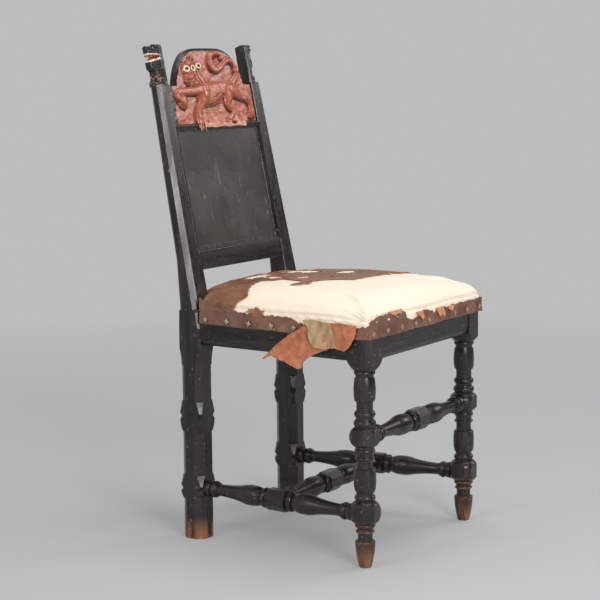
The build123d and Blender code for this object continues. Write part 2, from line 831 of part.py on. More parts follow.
for name, side in SIDES:
    with BuildPart() as side_rail:
        outward = Vector(side * side_face_run.Y, -side_face_run.X, 0)
        start = side_face_point(side, leg_back_y, -rail_recess, 0)
        along = outward.cross(Vector(0, 0, 1))
        with BuildSketch(Plane(origin=start, x_dir=outward, z_dir=along)):
            with BuildLine():
                draw_rail_section()
            make_face()
        extrude(amount=frame_depth, both=True)
        split(bisect_by=Plane(origin=(0, leg_back_y, 0), z_dir=(0, 1, 0)), keep=Keep.TOP)
        split(bisect_by=Plane(origin=(0, post_front_y, 0), z_dir=(0, -1, 0)), keep=Keep.TOP)
        for joint in (side_rail_front_joint(side), side_rail_back_joint(side)):
            add_tenon(joint, tenon_height)
            cut_pegs(joint, rail_peg_reach, rail_peg_heights)
        for y in side_nail_y:
            cut_nail_hole(side_nail_plane(side, y, -rail_recess))
        cut_tack_holes([point for point in side_tacks if point[0] * side > 0])
    side_rail.part.label = f"side_rail_{name}"
    export_step(side_rail.part, f"parts/side_rail_{name}.step")


# ---- Stretchers ----
for name, side in SIDES:
    with BuildPart() as side_stretcher:
        middle = Vector(side * side_line_x(side_mid_y), side_mid_y, side_stretcher_height)
        run = Vector(side * side_run.X, side_run.Y, 0)
        turn_stretcher(middle, run, (post_front_y - leg_back_y + leg_square / 8) / side_run.Y)
        split(bisect_by=Plane(origin=(0, leg_back_y, 0), z_dir=(0, 1, 0)), keep=Keep.TOP)
        split(bisect_by=Plane(origin=(0, post_front_y, 0), z_dir=(0, -1, 0)), keep=Keep.TOP)
        add_round_tenon(side_stretcher_joint(side, leg_back_y, -1))
        add_round_tenon(side_stretcher_joint(side, post_front_y, 1))
        cut_round_mortise(medial_joint(side))
    side_stretcher.part.label = f"side_stretcher_{name}"
    export_step(side_stretcher.part, f"parts/side_stretcher_{name}.step")

with BuildPart() as medial_stretcher:
    middle = Vector(0, side_mid_y, side_stretcher_height)
    turn_stretcher(middle, Vector(1, 0, 0), 2 * medial_end_x + leg_square / 8)
    for name, side in SIDES:
        face = Vector(side * block_normal.X, block_normal.Y, 0)
        cut_plane = Plane(origin=(side * medial_end_x, side_mid_y, 0), z_dir=-face)
        split(bisect_by=cut_plane, keep=Keep.TOP)
    for name, side in SIDES:
        add_round_tenon(medial_joint(side))
medial_stretcher.part.label = "medial_stretcher"
export_step(medial_stretcher.part, "parts/medial_stretcher.step")

with BuildPart() as front_stretcher:
    middle = Vector(0, front_y, front_stretcher_height)
    turn_stretcher(middle, Vector(1, 0, 0), 2 * leg_inner_x)
    for name, side in SIDES:
        add_round_tenon(front_stretcher_joint(side))
front_stretcher.part.label = "front_stretcher"
export_step(front_stretcher.part, "parts/front_stretcher.step")


# ---- Panelled back ----
# The panel stands in grooves in the posts, the crest board and the lower rail,
# and mitred mouldings in a rebate around its front hold it.
edge_low = up(panel_frame_bottom) + moulding_overlap
edge_high = up(panel_frame_top) - moulding_overlap
groove_depth = panel_tongue + panel_clearance
groove_thickness = panel_thickness + panel_clearance


def cut_groove(low, high):
    """Groove for the panel's edge in a rail, between two distances up the raked face."""
    with BuildSketch(back_plane(panel_drop)) as groove:
        with Locations((0, (low + high) / 2)):
            Rectangle(2 * post_gap, high - low)
    extrude(groove.sketch, amount=-groove_thickness, mode=Mode.SUBTRACT)


def cut_rebate(low, high):
    """Rebate for a moulding along the edge of a rail, between two distances up the raked face."""
    with BuildSketch(back_plane()) as rebate:
        with Locations((0, (low + high) / 2)):
            Rectangle(2 * post_gap, high - low)
    extrude(rebate.sketch, amount=-panel_drop, mode=Mode.SUBTRACT)


with BuildPart() as lower_back_rail:
    rail_low = up(lower_rail_bottom)
    with BuildSketch(back_plane()):
        with Locations((0, (rail_low + edge_low) / 2)):
            Rectangle(post_gap, edge_low - rail_low)
    extrude(amount=-lower_rail_thickness)
    cut_rebate(up(panel_frame_bottom), edge_low)
    cut_groove(edge_low - groove_depth, edge_low)
    for name, side in SIDES:
        joint = back_joint(side, lower_rail_mid, lower_rail_depth)
        add_tenon(joint, lower_rail_tenon)
        cut_pegs(joint, lower_rail_depth, (0,))
lower_back_rail.part.label = "lower_back_rail"
export_step(lower_back_rail.part, "parts/lower_back_rail.step")

# The crest board: square ends between the posts, an arch with a bevelled rim above them.
crest_plane = back_plane(crest_recess)


def crest_point(x, rise):
    """A point of the crest board's front face: distance across, height above the ledges."""
    return (x, up(crest_shoulder + rise, crest_recess))


# The lion, facing the sitter's right: each point is (distance across, height above the ledges).
lion_rump = (60.0, -16.0)
lion_chest = (-42.0, -18.0)
lion_head = (-76.0, 32.0)
lion_strokes = [
    (13.0, [(-61, -10), (-105, -15), (-140, -19), (-127, -34)]),
    (15.0, [(-46, -22), (-57, -45), (-89, -67), (-80, -86)]),
    (12.0, [(45, -22), (30, -38), (45, -60), (33, -76)]),
    (12.0, [(66, -24), (86, -34), (122, -38), (130, -67)]),
    (10.0, [(76, -10), (103, 13), (100, 42), (74, 51), (45, 37), (15, 32), (-4, 50), (24, 66)]),
]

board_base = edge_high
bevel_plane = back_plane(crest_recess + arch_bevel_depth)


def draw_crest(foot):
    """Right half of the arch from its springing to the crown, closed down to a foot line."""
    springing = crest_point(arch_half_width, 0)
    lean = crest_point(arch_half_width - arch_lean, arch_lean_height)
    flat = crest_point(arch_flat_half_width, arch_height)
    Line((0, foot), (arch_half_width, foot))
    Line((arch_half_width, foot), springing)
    Line(springing, lean)
    ThreePointArc(lean, crest_point(*arch_swell), flat)
    Line(flat, (0, flat[1]))


with BuildPart() as crest_board:
    shoulder_at = up(crest_shoulder, crest_recess)
    with BuildSketch(bevel_plane) as board:
        with BuildLine():
            draw_crest(board_base)
            mirror(about=Plane.YZ)
        make_face()
        with Locations((0, (board_base + shoulder_at) / 2)):
            Rectangle(post_gap, shoulder_at - board_base)
    extrude(amount=-(crest_thickness - arch_bevel_depth))
    with BuildSketch(bevel_plane):
        with Locations((0, (board_base + shoulder_at) / 2)):
            Rectangle(post_gap, shoulder_at - board_base)
    extrude(amount=arch_bevel_depth)
    with BuildSketch(bevel_plane):
        with BuildLine():
            draw_crest(shoulder_at - 2 * arch_bevel_width)
            mirror(about=Plane.YZ)
        make_face()
    extrude(amount=arch_bevel_depth, taper=degrees(atan2(arch_bevel_width, arch_bevel_depth)))
    with BuildSketch(back_plane(crest_recess + relief_sink)) as relief:
        for width, stroke in lion_strokes:
            with BuildLine() as path:
                Polyline(*[crest_point(x, z) for x, z in stroke])
            trace(path.line, line_width=width)
            with Locations(crest_point(*stroke[0]), crest_point(*stroke[-1])):
                Circle(width / 2)
        with Locations(crest_point(*lion_head)):
            Circle(24)
        with Locations(crest_point((lion_head[0] + lion_chest[0]) / 2, 2)):
            Ellipse(30, 20)
        with BuildLine():
            high = 22
            low = 24
            Spline(
                crest_point(lion_chest[0] - low, lion_chest[1] + 4),
                crest_point(lion_chest[0], lion_chest[1] + high),
                crest_point(10, 4),
                crest_point(lion_rump[0] + 4, lion_rump[1] + 16),
                crest_point(lion_rump[0] + 17, lion_rump[1] - 2),
                crest_point(lion_rump[0] - 8, lion_rump[1] - 16),
                crest_point(4, -46),
                crest_point(lion_chest[0] - 2, lion_chest[1] - low),
                periodic=True,
            )
        make_face()
    extrude(amount=relief_height + relief_sink)
    cut_rebate(edge_high - 1, up(panel_frame_top))
    cut_groove(edge_high - 1, edge_high + groove_depth)
    for name, side in SIDES:
        joint = back_joint(side, crest_tenon_mid, crest_tenon_depth)
        add_tenon(joint, crest_tenon_height)
        cut_pegs(joint, crest_tenon_depth, crest_peg_heights)
crest_board.part.label = "crest_board"
export_step(crest_board.part, "parts/crest_board.step")

with BuildPart() as back_panel:
    panel_low = edge_low - panel_tongue
    panel_high = edge_high + panel_tongue
    with BuildSketch(back_plane(panel_drop + panel_clearance / 2)):
        with Locations((0, (panel_low + panel_high) / 2)):
            Rectangle(post_gap + 2 * panel_tongue, panel_high - panel_low)
    extrude(amount=-panel_thickness)
back_panel.part.label = "back_panel"
export_step(back_panel.part, "parts/back_panel.step")

frame_half_width = post_inner_x + moulding_overlap
frame_low = up(panel_frame_bottom)
frame_high = up(panel_frame_top)
frame_middle = (frame_low + frame_high) / 2
MOULDINGS = (
    ("top", (0, frame_high), (0, -1)),
    ("bottom", (0, frame_low), (0, 1)),
    ("left", (-frame_half_width, frame_middle), (1, 0)),
    ("right", (frame_half_width, frame_middle), (-1, 0)),
)
for name, outer_edge, inward in MOULDINGS:
    with BuildPart() as moulding:
        face = back_plane()
        across = face.x_dir * inward[0] + face.y_dir * inward[1]
        run = across.cross(face.z_dir)
        start = face.from_local_coords(Vector(*outer_edge, 0))
        with BuildSketch(Plane(origin=start, x_dir=across, z_dir=run)):
            with BuildLine():
                Line((0, -panel_drop), (0, -0.4))
                ThreePointArc((0, -0.4), (moulding_bead / 2, 0.6), (moulding_bead, -0.4))
                Line((moulding_bead, -0.4), (moulding_bead + 0.6, -1.6))
                Line((moulding_bead + 0.6, -1.6), (moulding_width - 1.5, -panel_drop + 2.4))
                Line((moulding_width - 1.5, -panel_drop + 2.4), (moulding_width, -panel_drop + 1.2))
                Line((moulding_width, -panel_drop + 1.2), (moulding_width, -panel_drop))
                Line((moulding_width, -panel_drop), (0, -panel_drop))
            make_face()
        reach = frame_half_width if inward[0] == 0 else frame_high - frame_middle
        extrude(amount=reach, both=True)
        for end in (-1, 1):
            corner = start + run * (end * reach)
            mitre = (across - run * end).normalized()
            normal = mitre.cross(face.z_dir)
            if normal.dot(start - corner) < 0:
                normal = -normal
            split(bisect_by=Plane(origin=corner, x_dir=mitre, z_dir=normal), keep=Keep.TOP)
    moulding.part.label = f"panel_moulding_{name}"
    export_step(moulding.part, f"parts/panel_moulding_{name}.step")


# ---- Pegs ----
with BuildPart() as seat_frame_pegs:
    for name, side in SIDES:
        add_pegs(front_rail_joint(side), rail_peg_reach, rail_peg_heights)
        add_pegs(side_rail_front_joint(side), rail_peg_reach, rail_peg_heights)
        add_pegs(side_rail_back_joint(side), rail_peg_reach, rail_peg_heights)
        add_pegs(rear_rail_joint(side), rear_rail_reach, rail_peg_heights)
seat_frame_pegs.part.label = "seat_frame_pegs"
export_step(seat_frame_pegs.part, "parts/seat_frame_pegs.step")

with BuildPart() as back_frame_pegs:
    for name, side in SIDES:
        add_pegs(back_joint(side, lower_rail_mid, lower_rail_depth), lower_rail_depth, (0,))
        crest_joint = back_joint(side, crest_tenon_mid, crest_tenon_depth)
        add_pegs(crest_joint, crest_tenon_depth, crest_peg_heights)
back_frame_pegs.part.label = "back_frame_pegs"
export_step(back_frame_pegs.part, "parts/back_frame_pegs.step")


# ---- Upholstery ----
# Girth webs on the rails, a base cloth, a firm stuffing, a linen cover and, over it,
# what is left of the leather, with a leather band nailed round the rails.
with BuildPart() as front_webs:
    front_end = leg_front_y + rail_recess + web_inset
    with BuildSketch(Plane.XY.offset(web_low)):
        for x in web_x:
            with Locations((x, (front_end + seat_back_y - web_inset) / 2)):
                Rectangle(web_width, seat_back_y - web_inset - front_end)
    extrude(amount=web_thickness)
    cut_tack_holes(front_tacks + back_tacks)
front_webs.part.label = "webs_front_to_back"
export_step(front_webs.part, "parts/webs_front_to_back.step")

with BuildPart() as cross_webs:
    with BuildSketch(Plane.XY.offset(web_high)):
        for y in web_y:
            half = seat_half_width(y + web_width / 2) - rail_recess - web_inset
            with Locations((0, y)):
                Rectangle(2 * half, web_width)
    extrude(amount=web_thickness)
    cut_tack_holes(side_tacks)
cross_webs.part.label = "webs_side_to_side"
export_step(cross_webs.part, "parts/webs_side_to_side.step")

with BuildPart() as webbing_tacks:
    for x, y, z in front_tacks + back_tacks + side_tacks:
        with BuildSketch(Plane(origin=(x, y, z + web_thickness))) as head:
            Circle(tack_head_radius)
        extrude(head.sketch, amount=tack_head)
        with BuildSketch(Plane(origin=(x, y, z + web_thickness))) as shank:
            Circle(tack_radius)
        extrude(shank.sketch, amount=-tack_length)
webbing_tacks.part.label = "webbing_tacks"
export_step(webbing_tacks.part, "parts/webbing_tacks.step")


def cut_post_notches(gap):
    """Cut the active part back from the raked posts by a gap."""
    low = up(rake_start)
    high = up(waist_height)
    with BuildSketch(back_plane(-gap)) as notches:
        with Locations(*[(side * (post_inner_x - gap + post_square), (low + high) / 2) for name, side in SIDES]):
            Rectangle(2 * post_square, high - low)
    extrude(notches.sketch, amount=-4 * post_square, mode=Mode.SUBTRACT)


def draw_seat_plan(out, corner):
    """Plan of the seat, moved outwards from the faces of the legs: six sides, rounded corners."""
    front = leg_front_y - out
    kink = leg_back_y - out
    back = seat_back_y + out
    half_front = leg_outer_x + out
    half_back = seat_half_width(back) + out
    right = [(half_front, front), (half_front, kink), (half_back, back)]
    left = [(-x, y) for x, y in reversed(right)]
    with BuildLine() as outline:
        FilletPolyline(*right, *left, radius=corner, close=True)
    make_face(outline.edges())


# The stuffed seat from its base up: (height, distance out from the legs' faces).
cushion_profile = [
    (cushion_base_edge, -cushion_inset),
    (cushion_bulge, cushion_swell),
    (cushion_shoulder, -5.0),
    (cushion_crown - 5.0, -22.0),
    (cushion_crown, -75.0),
]


def seat_shape(grow, bottom, post_clearance):
    """The stuffed seat with its surface moved outwards, standing on a bottom height."""
    levels = [(bottom, grow - cushion_inset)]
    levels += [(height + grow, out + grow) for height, out in cushion_profile]
    with BuildPart() as shape:
        for height, out in levels:
            with BuildSketch(Plane.XY.offset(height)):
                draw_seat_plan(out, cushion_corner + max(0.0, -out) / 4)
        loft(ruled=True)
        cut_post_notches(post_clearance)
    return shape.part


linen_grow = web_gap
leather_grow = linen_grow + linen_thickness + web_gap
leather_outside = leather_grow + leather_thickness
stuffing_gap = cover_post_gap + leather_outside

with BuildPart() as base_cloth:
    cloth_inset = rail_recess + web_inset
    with BuildSketch(Plane.XY.offset(cloth_base)):
        draw_seat_plan(-cloth_inset, cushion_corner)
    extrude(amount=base_cloth_thickness)
    cut_post_notches(cover_post_gap)
base_cloth.part.label = "base_cloth"
export_step(base_cloth.part, "parts/base_cloth.step")

with BuildPart() as seat_stuffing:
    add(seat_shape(0, stuffing_base, stuffing_gap))
seat_stuffing.part.label = "seat_stuffing"
export_step(seat_stuffing.part, "parts/seat_stuffing.step")

linen_outer = seat_shape(linen_grow + linen_thickness, stuffing_base, stuffing_gap - linen_grow - linen_thickness)
linen_inner = seat_shape(linen_grow, cloth_base, stuffing_gap - linen_grow)
with BuildPart() as linen_cover:
    add(linen_outer)
    add(linen_inner, mode=Mode.SUBTRACT)
linen_cover.part.label = "linen_cover"
export_step(linen_cover.part, "parts/linen_cover.step")

# The leather is torn away over the front of the seat: (across, back from the legs' axes).
torn_edge = [
    (-260, 300),
    (-228, 290),
    (-190, 262),
    (-120, 235),
    (-40, 210),
    (40, 190),
    (120, 160),
    (180, 110),
    (260, 90),
]
leather_outer = seat_shape(leather_outside, stuffing_base, cover_post_gap)
leather_inner = seat_shape(leather_grow, cloth_base, stuffing_gap - leather_grow)
with BuildPart() as leather_cover:
    add(leather_outer)
    add(leather_inner, mode=Mode.SUBTRACT)
    with BuildSketch(Plane.XY.offset(band_top + cover_gap)):
        with BuildLine():
            Polyline(*[(x, front_y + y) for x, y in torn_edge])
            last_x, last_y = torn_edge[-1]
            first_x, first_y = torn_edge[0]
            beyond = 2 * frame_depth
            Polyline((last_x, front_y + last_y), (last_x, beyond), (first_x, beyond), (first_x, front_y + first_y))
        make_face()
    extrude(amount=total_height, mode=Mode.INTERSECT)
leather_cover.part.label = "leather_cover"
export_step(leather_cover.part, "parts/leather_cover.step")

# The band runs over the legs and rails: its front piece covers the ends of the side pieces.
band_middle = (band_bottom + band_top) / 2
band_height = band_top - band_bottom
band_out = cover_gap + band_thickness
front_nail_planes = [Plane(origin=(x, leg_front_y - band_out, nail_height), z_dir=(0, -1, 0)) for x in front_nail_x]
back_nail_planes = [Plane(origin=(x, seat_back_y + band_out, nail_height), z_dir=(0, 1, 0)) for x in back_nail_x]

with BuildPart() as band_front:
    with BuildSketch(Plane(origin=(0, leg_front_y - cover_gap, band_middle), x_dir=(1, 0, 0), z_dir=(0, -1, 0))):
        Rectangle(2 * (leg_outer_x + band_out), band_height)
    extrude(amount=band_thickness)
    for plane in front_nail_planes:
        cut_nail_hole(plane)
band_front.part.label = "leather_band_front"
export_step(band_front.part, "parts/leather_band_front.step")

with BuildPart() as band_back:
    with BuildSketch(Plane(origin=(0, seat_back_y + cover_gap, band_middle), x_dir=(-1, 0, 0), z_dir=(0, 1, 0))):
        Rectangle(2 * (post_inner_x - cover_post_gap), band_height)
    extrude(amount=band_thickness)
    for plane in back_nail_planes:
        cut_nail_hole(plane)
band_back.part.label = "leather_band_back"
export_step(band_back.part, "parts/leather_band_back.step")

for name, side in SIDES:
    with BuildPart() as band_side:
        with BuildSketch(Plane.XY.offset(band_bottom)):
            with BuildLine():
                front = leg_front_y
                back = post_front_y - cover_gap
                rear_in = side_face_point(side, back, cover_gap, 0)
                rear_out = side_face_point(side, back, band_out, 0)
                kink_in = (side * (leg_outer_x + cover_gap), leg_back_y)
                kink_out = (side * (leg_outer_x + band_out), leg_back_y)
                near_in = (side * (leg_outer_x + cover_gap), front)
                near_out = (side * (leg_outer_x + band_out), front)
                far_in = (rear_in.X, rear_in.Y)
                far_out = (rear_out.X, rear_out.Y)
                Polyline(near_in, kink_in, far_in, far_out, kink_out, near_out, close=True)
            make_face()
        extrude(amount=band_height)
        for y in side_nail_y:
            cut_nail_hole(side_nail_plane(side, y, band_out))
    band_side.part.label = f"leather_band_{name}"
    export_step(band_side.part, f"parts/leather_band_{name}.step")

with BuildPart() as band_nails:
    planes = front_nail_planes + back_nail_planes
    for name, side in SIDES:
        planes += [side_nail_plane(side, y, band_out) for y in side_nail_y]
    with BuildSketch(*planes):
        Rectangle(nail_size / sqrt(2), nail_size / sqrt(2), rotation=45)
    extrude(amount=nail_head, taper=nail_taper)
    with BuildSketch(*planes):
        Circle(nail_shank_radius)
    extrude(amount=-nail_shank_length)
band_nails.part.label = "band_nails"
export_step(band_nails.part, "parts/band_nails.step")

# Torn pieces hang from the band on the left side: (back from the legs' axes, height).
torn_leather = [
    [(123, 492), (164, 467), (204, 434), (226, 414), (204, 426), (170, 413), (139, 401)]
    + [(127, 405), (126, 419), (103, 433), (74, 446), (102, 448), (112, 471)],
    [(60, 493), (32, 494), (2, 494), (5, 472), (14, 456), (25, 445), (46, 449), (55, 472)],
]
torn_lining = [(123, 496), (88, 498), (60, 495), (53, 472), (44, 452), (79, 445), (102, 448)]
flap_out = band_out + nail_head + cover_gap


def flap_plane(out):
    """The left side's face at the band's top edge, tipped so that what hangs from it stands out."""
    face = side_nail_plane(-1, leg_back_y, out)
    along = face.x_dir.cross(face.z_dir)
    if along.Y < 0:
        along = -along
    origin = side_face_point(-1, leg_back_y, out, band_top)
    return Plane(origin=origin, x_dir=along, z_dir=face.z_dir).rotated((flap_lean, 0, 0))


def flap_outline(points):
    """Distances back and heights turned into points of the flap's plane, whose y runs down."""
    return [(y - half_leg, band_top - z) for y, z in points]


with BuildPart() as leather_flaps:
    for points in torn_leather:
        with BuildSketch(flap_plane(flap_out)):
            with BuildLine():
                Polyline(*flap_outline(points), close=True)
            make_face()
    extrude(amount=leather_thickness)
leather_flaps.part.label = "torn_leather_flaps"
export_step(leather_flaps.part, "parts/torn_leather_flaps.step")

with BuildPart() as lining_flap:
    with BuildSketch(flap_plane(flap_out + leather_thickness + cover_gap)):
        with BuildLine():
            Polyline(*flap_outline(torn_lining), close=True)
        make_face()
    extrude(amount=linen_thickness)
lining_flap.part.label = "torn_lining_flap"
export_step(lining_flap.part, "parts/torn_lining_flap.step")
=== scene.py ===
import bpy
import bmesh
import math
import numpy as np
import openvdb
from mathutils import Matrix, Vector


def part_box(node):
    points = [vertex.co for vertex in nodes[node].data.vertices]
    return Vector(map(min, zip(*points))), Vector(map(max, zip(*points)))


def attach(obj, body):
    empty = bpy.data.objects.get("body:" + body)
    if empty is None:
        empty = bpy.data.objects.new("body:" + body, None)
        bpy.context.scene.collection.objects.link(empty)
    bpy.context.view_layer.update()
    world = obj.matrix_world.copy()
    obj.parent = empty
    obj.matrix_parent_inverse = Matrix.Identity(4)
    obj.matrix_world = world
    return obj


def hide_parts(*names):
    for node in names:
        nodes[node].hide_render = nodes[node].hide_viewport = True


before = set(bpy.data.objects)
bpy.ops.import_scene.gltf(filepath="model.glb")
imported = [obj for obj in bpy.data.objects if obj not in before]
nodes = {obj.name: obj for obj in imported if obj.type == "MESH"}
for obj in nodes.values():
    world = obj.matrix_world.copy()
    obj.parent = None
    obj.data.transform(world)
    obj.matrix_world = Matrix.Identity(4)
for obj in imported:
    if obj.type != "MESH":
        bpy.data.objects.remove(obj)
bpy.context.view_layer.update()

# ---- Studio ----
# A pale paper floor that runs out to the same grey as the surroundings, soft light
# from both sides in front and from above, and a long lens at about the crest's height.
scene = bpy.context.scene
scene.view_settings.view_transform = "Standard"
PAPER = 0.505
PAPER_TINT = (PAPER, PAPER * 1.003, PAPER * 1.01, 1)
HEADING = math.radians(58.34)
DIP = math.radians(7.45)
TILT = math.radians(-0.52)


def look_at(origin, target):
    """Matrix of a lamp at origin that shines at target."""
    away = (Vector(origin) - Vector(target)).normalized()
    across = Vector((0, 0, 1)).cross(away).normalized()
    matrix = Matrix((across, away.cross(across), away)).transposed().to_4x4()
    matrix.translation = origin
    return matrix


ahead = Vector((math.sin(HEADING) * math.cos(DIP), math.cos(HEADING) * math.cos(DIP), -math.sin(DIP)))
level = Vector((math.cos(HEADING), -math.sin(HEADING), 0))
rise = level.cross(ahead)
image_x = level * math.cos(TILT) + rise * math.sin(TILT)
image_y = rise * math.cos(TILT) - level * math.sin(TILT)
lens = bpy.data.cameras.new("Camera")
lens.sensor_width = 36.0
lens.lens = 108.6
camera = bpy.data.objects.new("Camera", lens)
scene.collection.objects.link(camera)
camera.matrix_world = Matrix((image_x, image_y, -ahead)).transposed().to_4x4()
camera.matrix_world.translation = (-3.337, -2.0337, 1.0167)
scene.camera = camera


def put(tree, kind, settings=None, inputs=None):
    """Add a shader node; an input given as a socket is linked, and as a value is set."""
    node = tree.nodes.new("ShaderNode" + kind)
    for name, value in (settings or {}).items():
        setattr(node, name, value)
    for name, value in (inputs or {}).items():
        if isinstance(value, bpy.types.NodeSocket):
            tree.links.new(value, node.inputs[name])
        else:
            node.inputs[name].default_value = value
    return node


def blend_colour(tree, share, first, second):
    """Mix two colours, each given as a value or a socket, and return the result's socket."""
    return put(tree, "Mix", {"data_type": "RGBA"}, {0: share, 6: first, 7: second}).outputs[2]


def use_group(tree, group, inputs=None):
    """Add a node of a shader node group."""
    return put(tree, "Group", {"node_tree": group}, inputs)


def own_space(tree):
    """The socket that gives a point's place in its piece's own space."""
    return put(tree, "TexCoord").outputs["Object"]


def noise(tree, where, scale, detail, roughness, distortion=0.0):
    """Noise over a space; returns its value's socket."""
    return put(tree, "TexNoise", None, {
        "Vector": where, "Scale": scale, "Detail": detail, "Roughness": roughness, "Distortion": distortion,
    }).outputs["Fac"]


def ramp(tree, value, low, high, start=0.0, end=1.0):
    """Value carried from the range low to high to the range start to end, held at its ends."""
    return put(tree, "MapRange", None, {
        "Value": value, "From Min": low, "From Max": high, "To Min": start, "To Max": end,
    }).outputs[0]


def spotted(tree, colour, tint, value, low, high, most=1.0):
    """A colour that gives way to a tint where a value rises from low to high, by a share at most."""
    return blend_colour(tree, ramp(tree, value, low, high, end=most), colour, tint)


def maths(tree, operation, *values):
    """Result of an operation on two or three values or sockets."""
    return put(tree, "Math", {"operation": operation}, dict(enumerate(values))).outputs[0]


def surface(tree, out, bump, colour, roughness, others=None):
    """Finish a material with a surface; its bump is a strength, a distance and a height."""
    lift = put(tree, "Bump", None, dict(zip(("Strength", "Distance", "Height"), bump)))
    shader = put(tree, "BsdfPrincipled", None, {
        "Base Color": colour, "Roughness": roughness, "Normal": lift.outputs[0], **(others or {}),
    })
    tree.links.new(shader.outputs[0], out.inputs["Surface"])


def new_piece(name, verts, faces):
    """A mesh in an object of its own; returns both."""
    mesh = bpy.data.meshes.new(name)
    mesh.from_pydata(verts, [], faces)
    piece = bpy.data.objects.new(name, mesh)
    scene.collection.objects.link(piece)
    return piece, mesh


def face_outwards(mesh, weld=0.0, relax=0.0):
    """Turn a closed mesh's faces outwards, welded before and relaxed after where asked."""
    shape = bmesh.new()
    shape.from_mesh(mesh)
    if weld:
        bmesh.ops.remove_doubles(shape, verts=shape.verts, dist=weld)
    bmesh.ops.recalc_face_normals(shape, faces=shape.faces)
    if relax:
        bmesh.ops.smooth_vert(
            shape, verts=shape.verts, factor=relax, use_axis_x=True, use_axis_y=True, use_axis_z=True,
        )
    shape.to_mesh(mesh)
    shape.free()


def grid_faces(columns, points, first=0):
    """Faces between columns of points, every column listed from one end to the other."""
    corners = [first + i * points + j for i in range(columns - 1) for j in range(points - 1)]
    return [(a, a + points, a + points + 1, a + 1) for a in corners]


def border_points(faces, count):
    """Mask of the points on the open edges of some faces."""
    edges = {}
    for face in faces:
        for a, b in zip(face, np.roll(face, -1)):
            key = (min(a, b), max(a, b))
            edges[key] = edges.get(key, 0) + 1
    border = np.zeros(count, bool)
    for (a, b), uses in edges.items():
        if uses == 1:
            border[a] = border[b] = True
    return border


def skin_of(field, low, pitch):
    """Points and faces of the surface where a field of values passes through zero."""
    grid = openvdb.FloatGrid()
    grid.copyFromArray(field.astype(float))
    points, quads = grid.convertToQuads(0.0)
    return np.array(points, dtype=float) * pitch + np.array(low), np.array(quads).tolist()


def new_material(name):
    """An empty material with its output; returns the material, its tree and the output node."""
    material = bpy.data.materials.new(name)
    material.use_nodes = True
    tree = material.node_tree
    tree.nodes.clear()
    return material, tree, tree.nodes.new("ShaderNodeOutputMaterial")


def soft_lamp(name, origin, target, size, power, colour=(1, 1, 1)):
    """A square area lamp that shines at a target."""
    lamp = bpy.data.lights.new(name, "AREA")
    lamp.shape = "SQUARE"
    lamp.size = size
    lamp.energy = power
    lamp.color = colour
    holder = bpy.data.objects.new(name, lamp)
    scene.collection.objects.link(holder)
    holder.matrix_world = look_at(origin, target)


soft_lamp("key_softbox", (-2.0, -2.65, 1.55), (0, 0, 0.6), 1.15, 62, (1.0, 0.985, 0.965))
soft_lamp("left_softbox", (-3.3, 0.8, 1.9), (0, 0, 0.55), 1.0, 22, (0.985, 0.99, 1.0))
soft_lamp("right_softbox", (3.0, -1.9, 2.3), (0, 0, 0.5), 1.2, 22, (1.0, 0.99, 0.98))
soft_lamp("top_softbox", (0.3, -0.4, 3.2), (0, 0, 0.6), 1.7, 30)

world = bpy.data.worlds.new("Surroundings")
scene.world = world
world.use_nodes = True
sky = world.node_tree
sky.nodes.clear()
ray = put(sky, "LightPath")
seen = maths(sky, "MAXIMUM", ray.outputs["Is Camera Ray"], ray.outputs["Is Glossy Ray"])
seen = maths(sky, "MAXIMUM", seen, ray.outputs["Is Transmission Ray"])
ambient = put(sky, "Background", None, {"Color": (0.98, 0.99, 1.0, 1), "Strength": 0.42})
# In reflections the room is dark in front of the chair and paper-grey behind it.
direction = put(sky, "TexCoord")
parts = put(sky, "SeparateXYZ", None, {0: direction.outputs["Generated"]})
behind = ramp(sky, parts.outputs["Y"], -0.35, 0.5, 0.22, 1.0)
paper_light = ramp(sky, ray.outputs["Is Glossy Ray"], 0.0, 1.0, 1.0, behind)
paper_sky = put(sky, "Background", None, {"Color": PAPER_TINT, "Strength": paper_light})
both = put(sky, "MixShader", None, {0: seen, 1: ambient.outputs[0], 2: paper_sky.outputs[0]})
put(sky, "OutputWorld", None, {"Surface": both.outputs[0]})

floor_mesh = bpy.data.meshes.new("floor")
floor_shape = bmesh.new()
bmesh.ops.create_circle(floor_shape, cap_ends=True, segments=96, radius=14.0)
floor_shape.to_mesh(floor_mesh)
floor = bpy.data.objects.new("floor", floor_mesh)
scene.collection.objects.link(floor)
paper, tree, out = new_material("studio_paper")
place = put(tree, "NewGeometry")
reach = put(tree, "VectorMath", {"operation": "LENGTH"}, {0: place.outputs["Position"]})
fade = ramp(tree, reach.outputs["Value"], 0.9, 3.4, 0.3, 1.0)
ray = put(tree, "LightPath")
plain = maths(tree, "MULTIPLY", ray.outputs["Is Camera Ray"], fade)
matt = put(tree, "BsdfDiffuse", None, {"Color": (0.56, 0.56, 0.565, 1)})
glow = put(tree, "Emission", None, {"Color": PAPER_TINT, "Strength": 1.0})
mixed = put(tree, "MixShader", None, {0: plain, 1: matt.outputs[0], 2: glow.outputs[0]})
tree.links.new(mixed.outputs[0], out.inputs["Surface"])
floor_mesh.materials.append(paper)

# ---- Painted joinery ----
# Legs, posts, stretchers, rails and mouldings: close-grained wood under thin black paint,
# rubbed through to brown wood along the arrises and wherever feet and hands have touched it.


def start_group(name, sockets_in, sockets_out):
    """A shader node group with named inputs and outputs, ready for its nodes."""
    group = bpy.data.node_groups.new(name, "ShaderNodeTree")
    for label, kind, value in sockets_in:
        socket = group.interface.new_socket(label, in_out="INPUT", socket_type="NodeSocket" + kind)
        if value is not None:
            socket.default_value = value
    for label, kind in sockets_out:
        group.interface.new_socket(label, in_out="OUTPUT", socket_type="NodeSocket" + kind)
    return group, group.nodes.new("NodeGroupInput"), group.nodes.new("NodeGroupOutput")


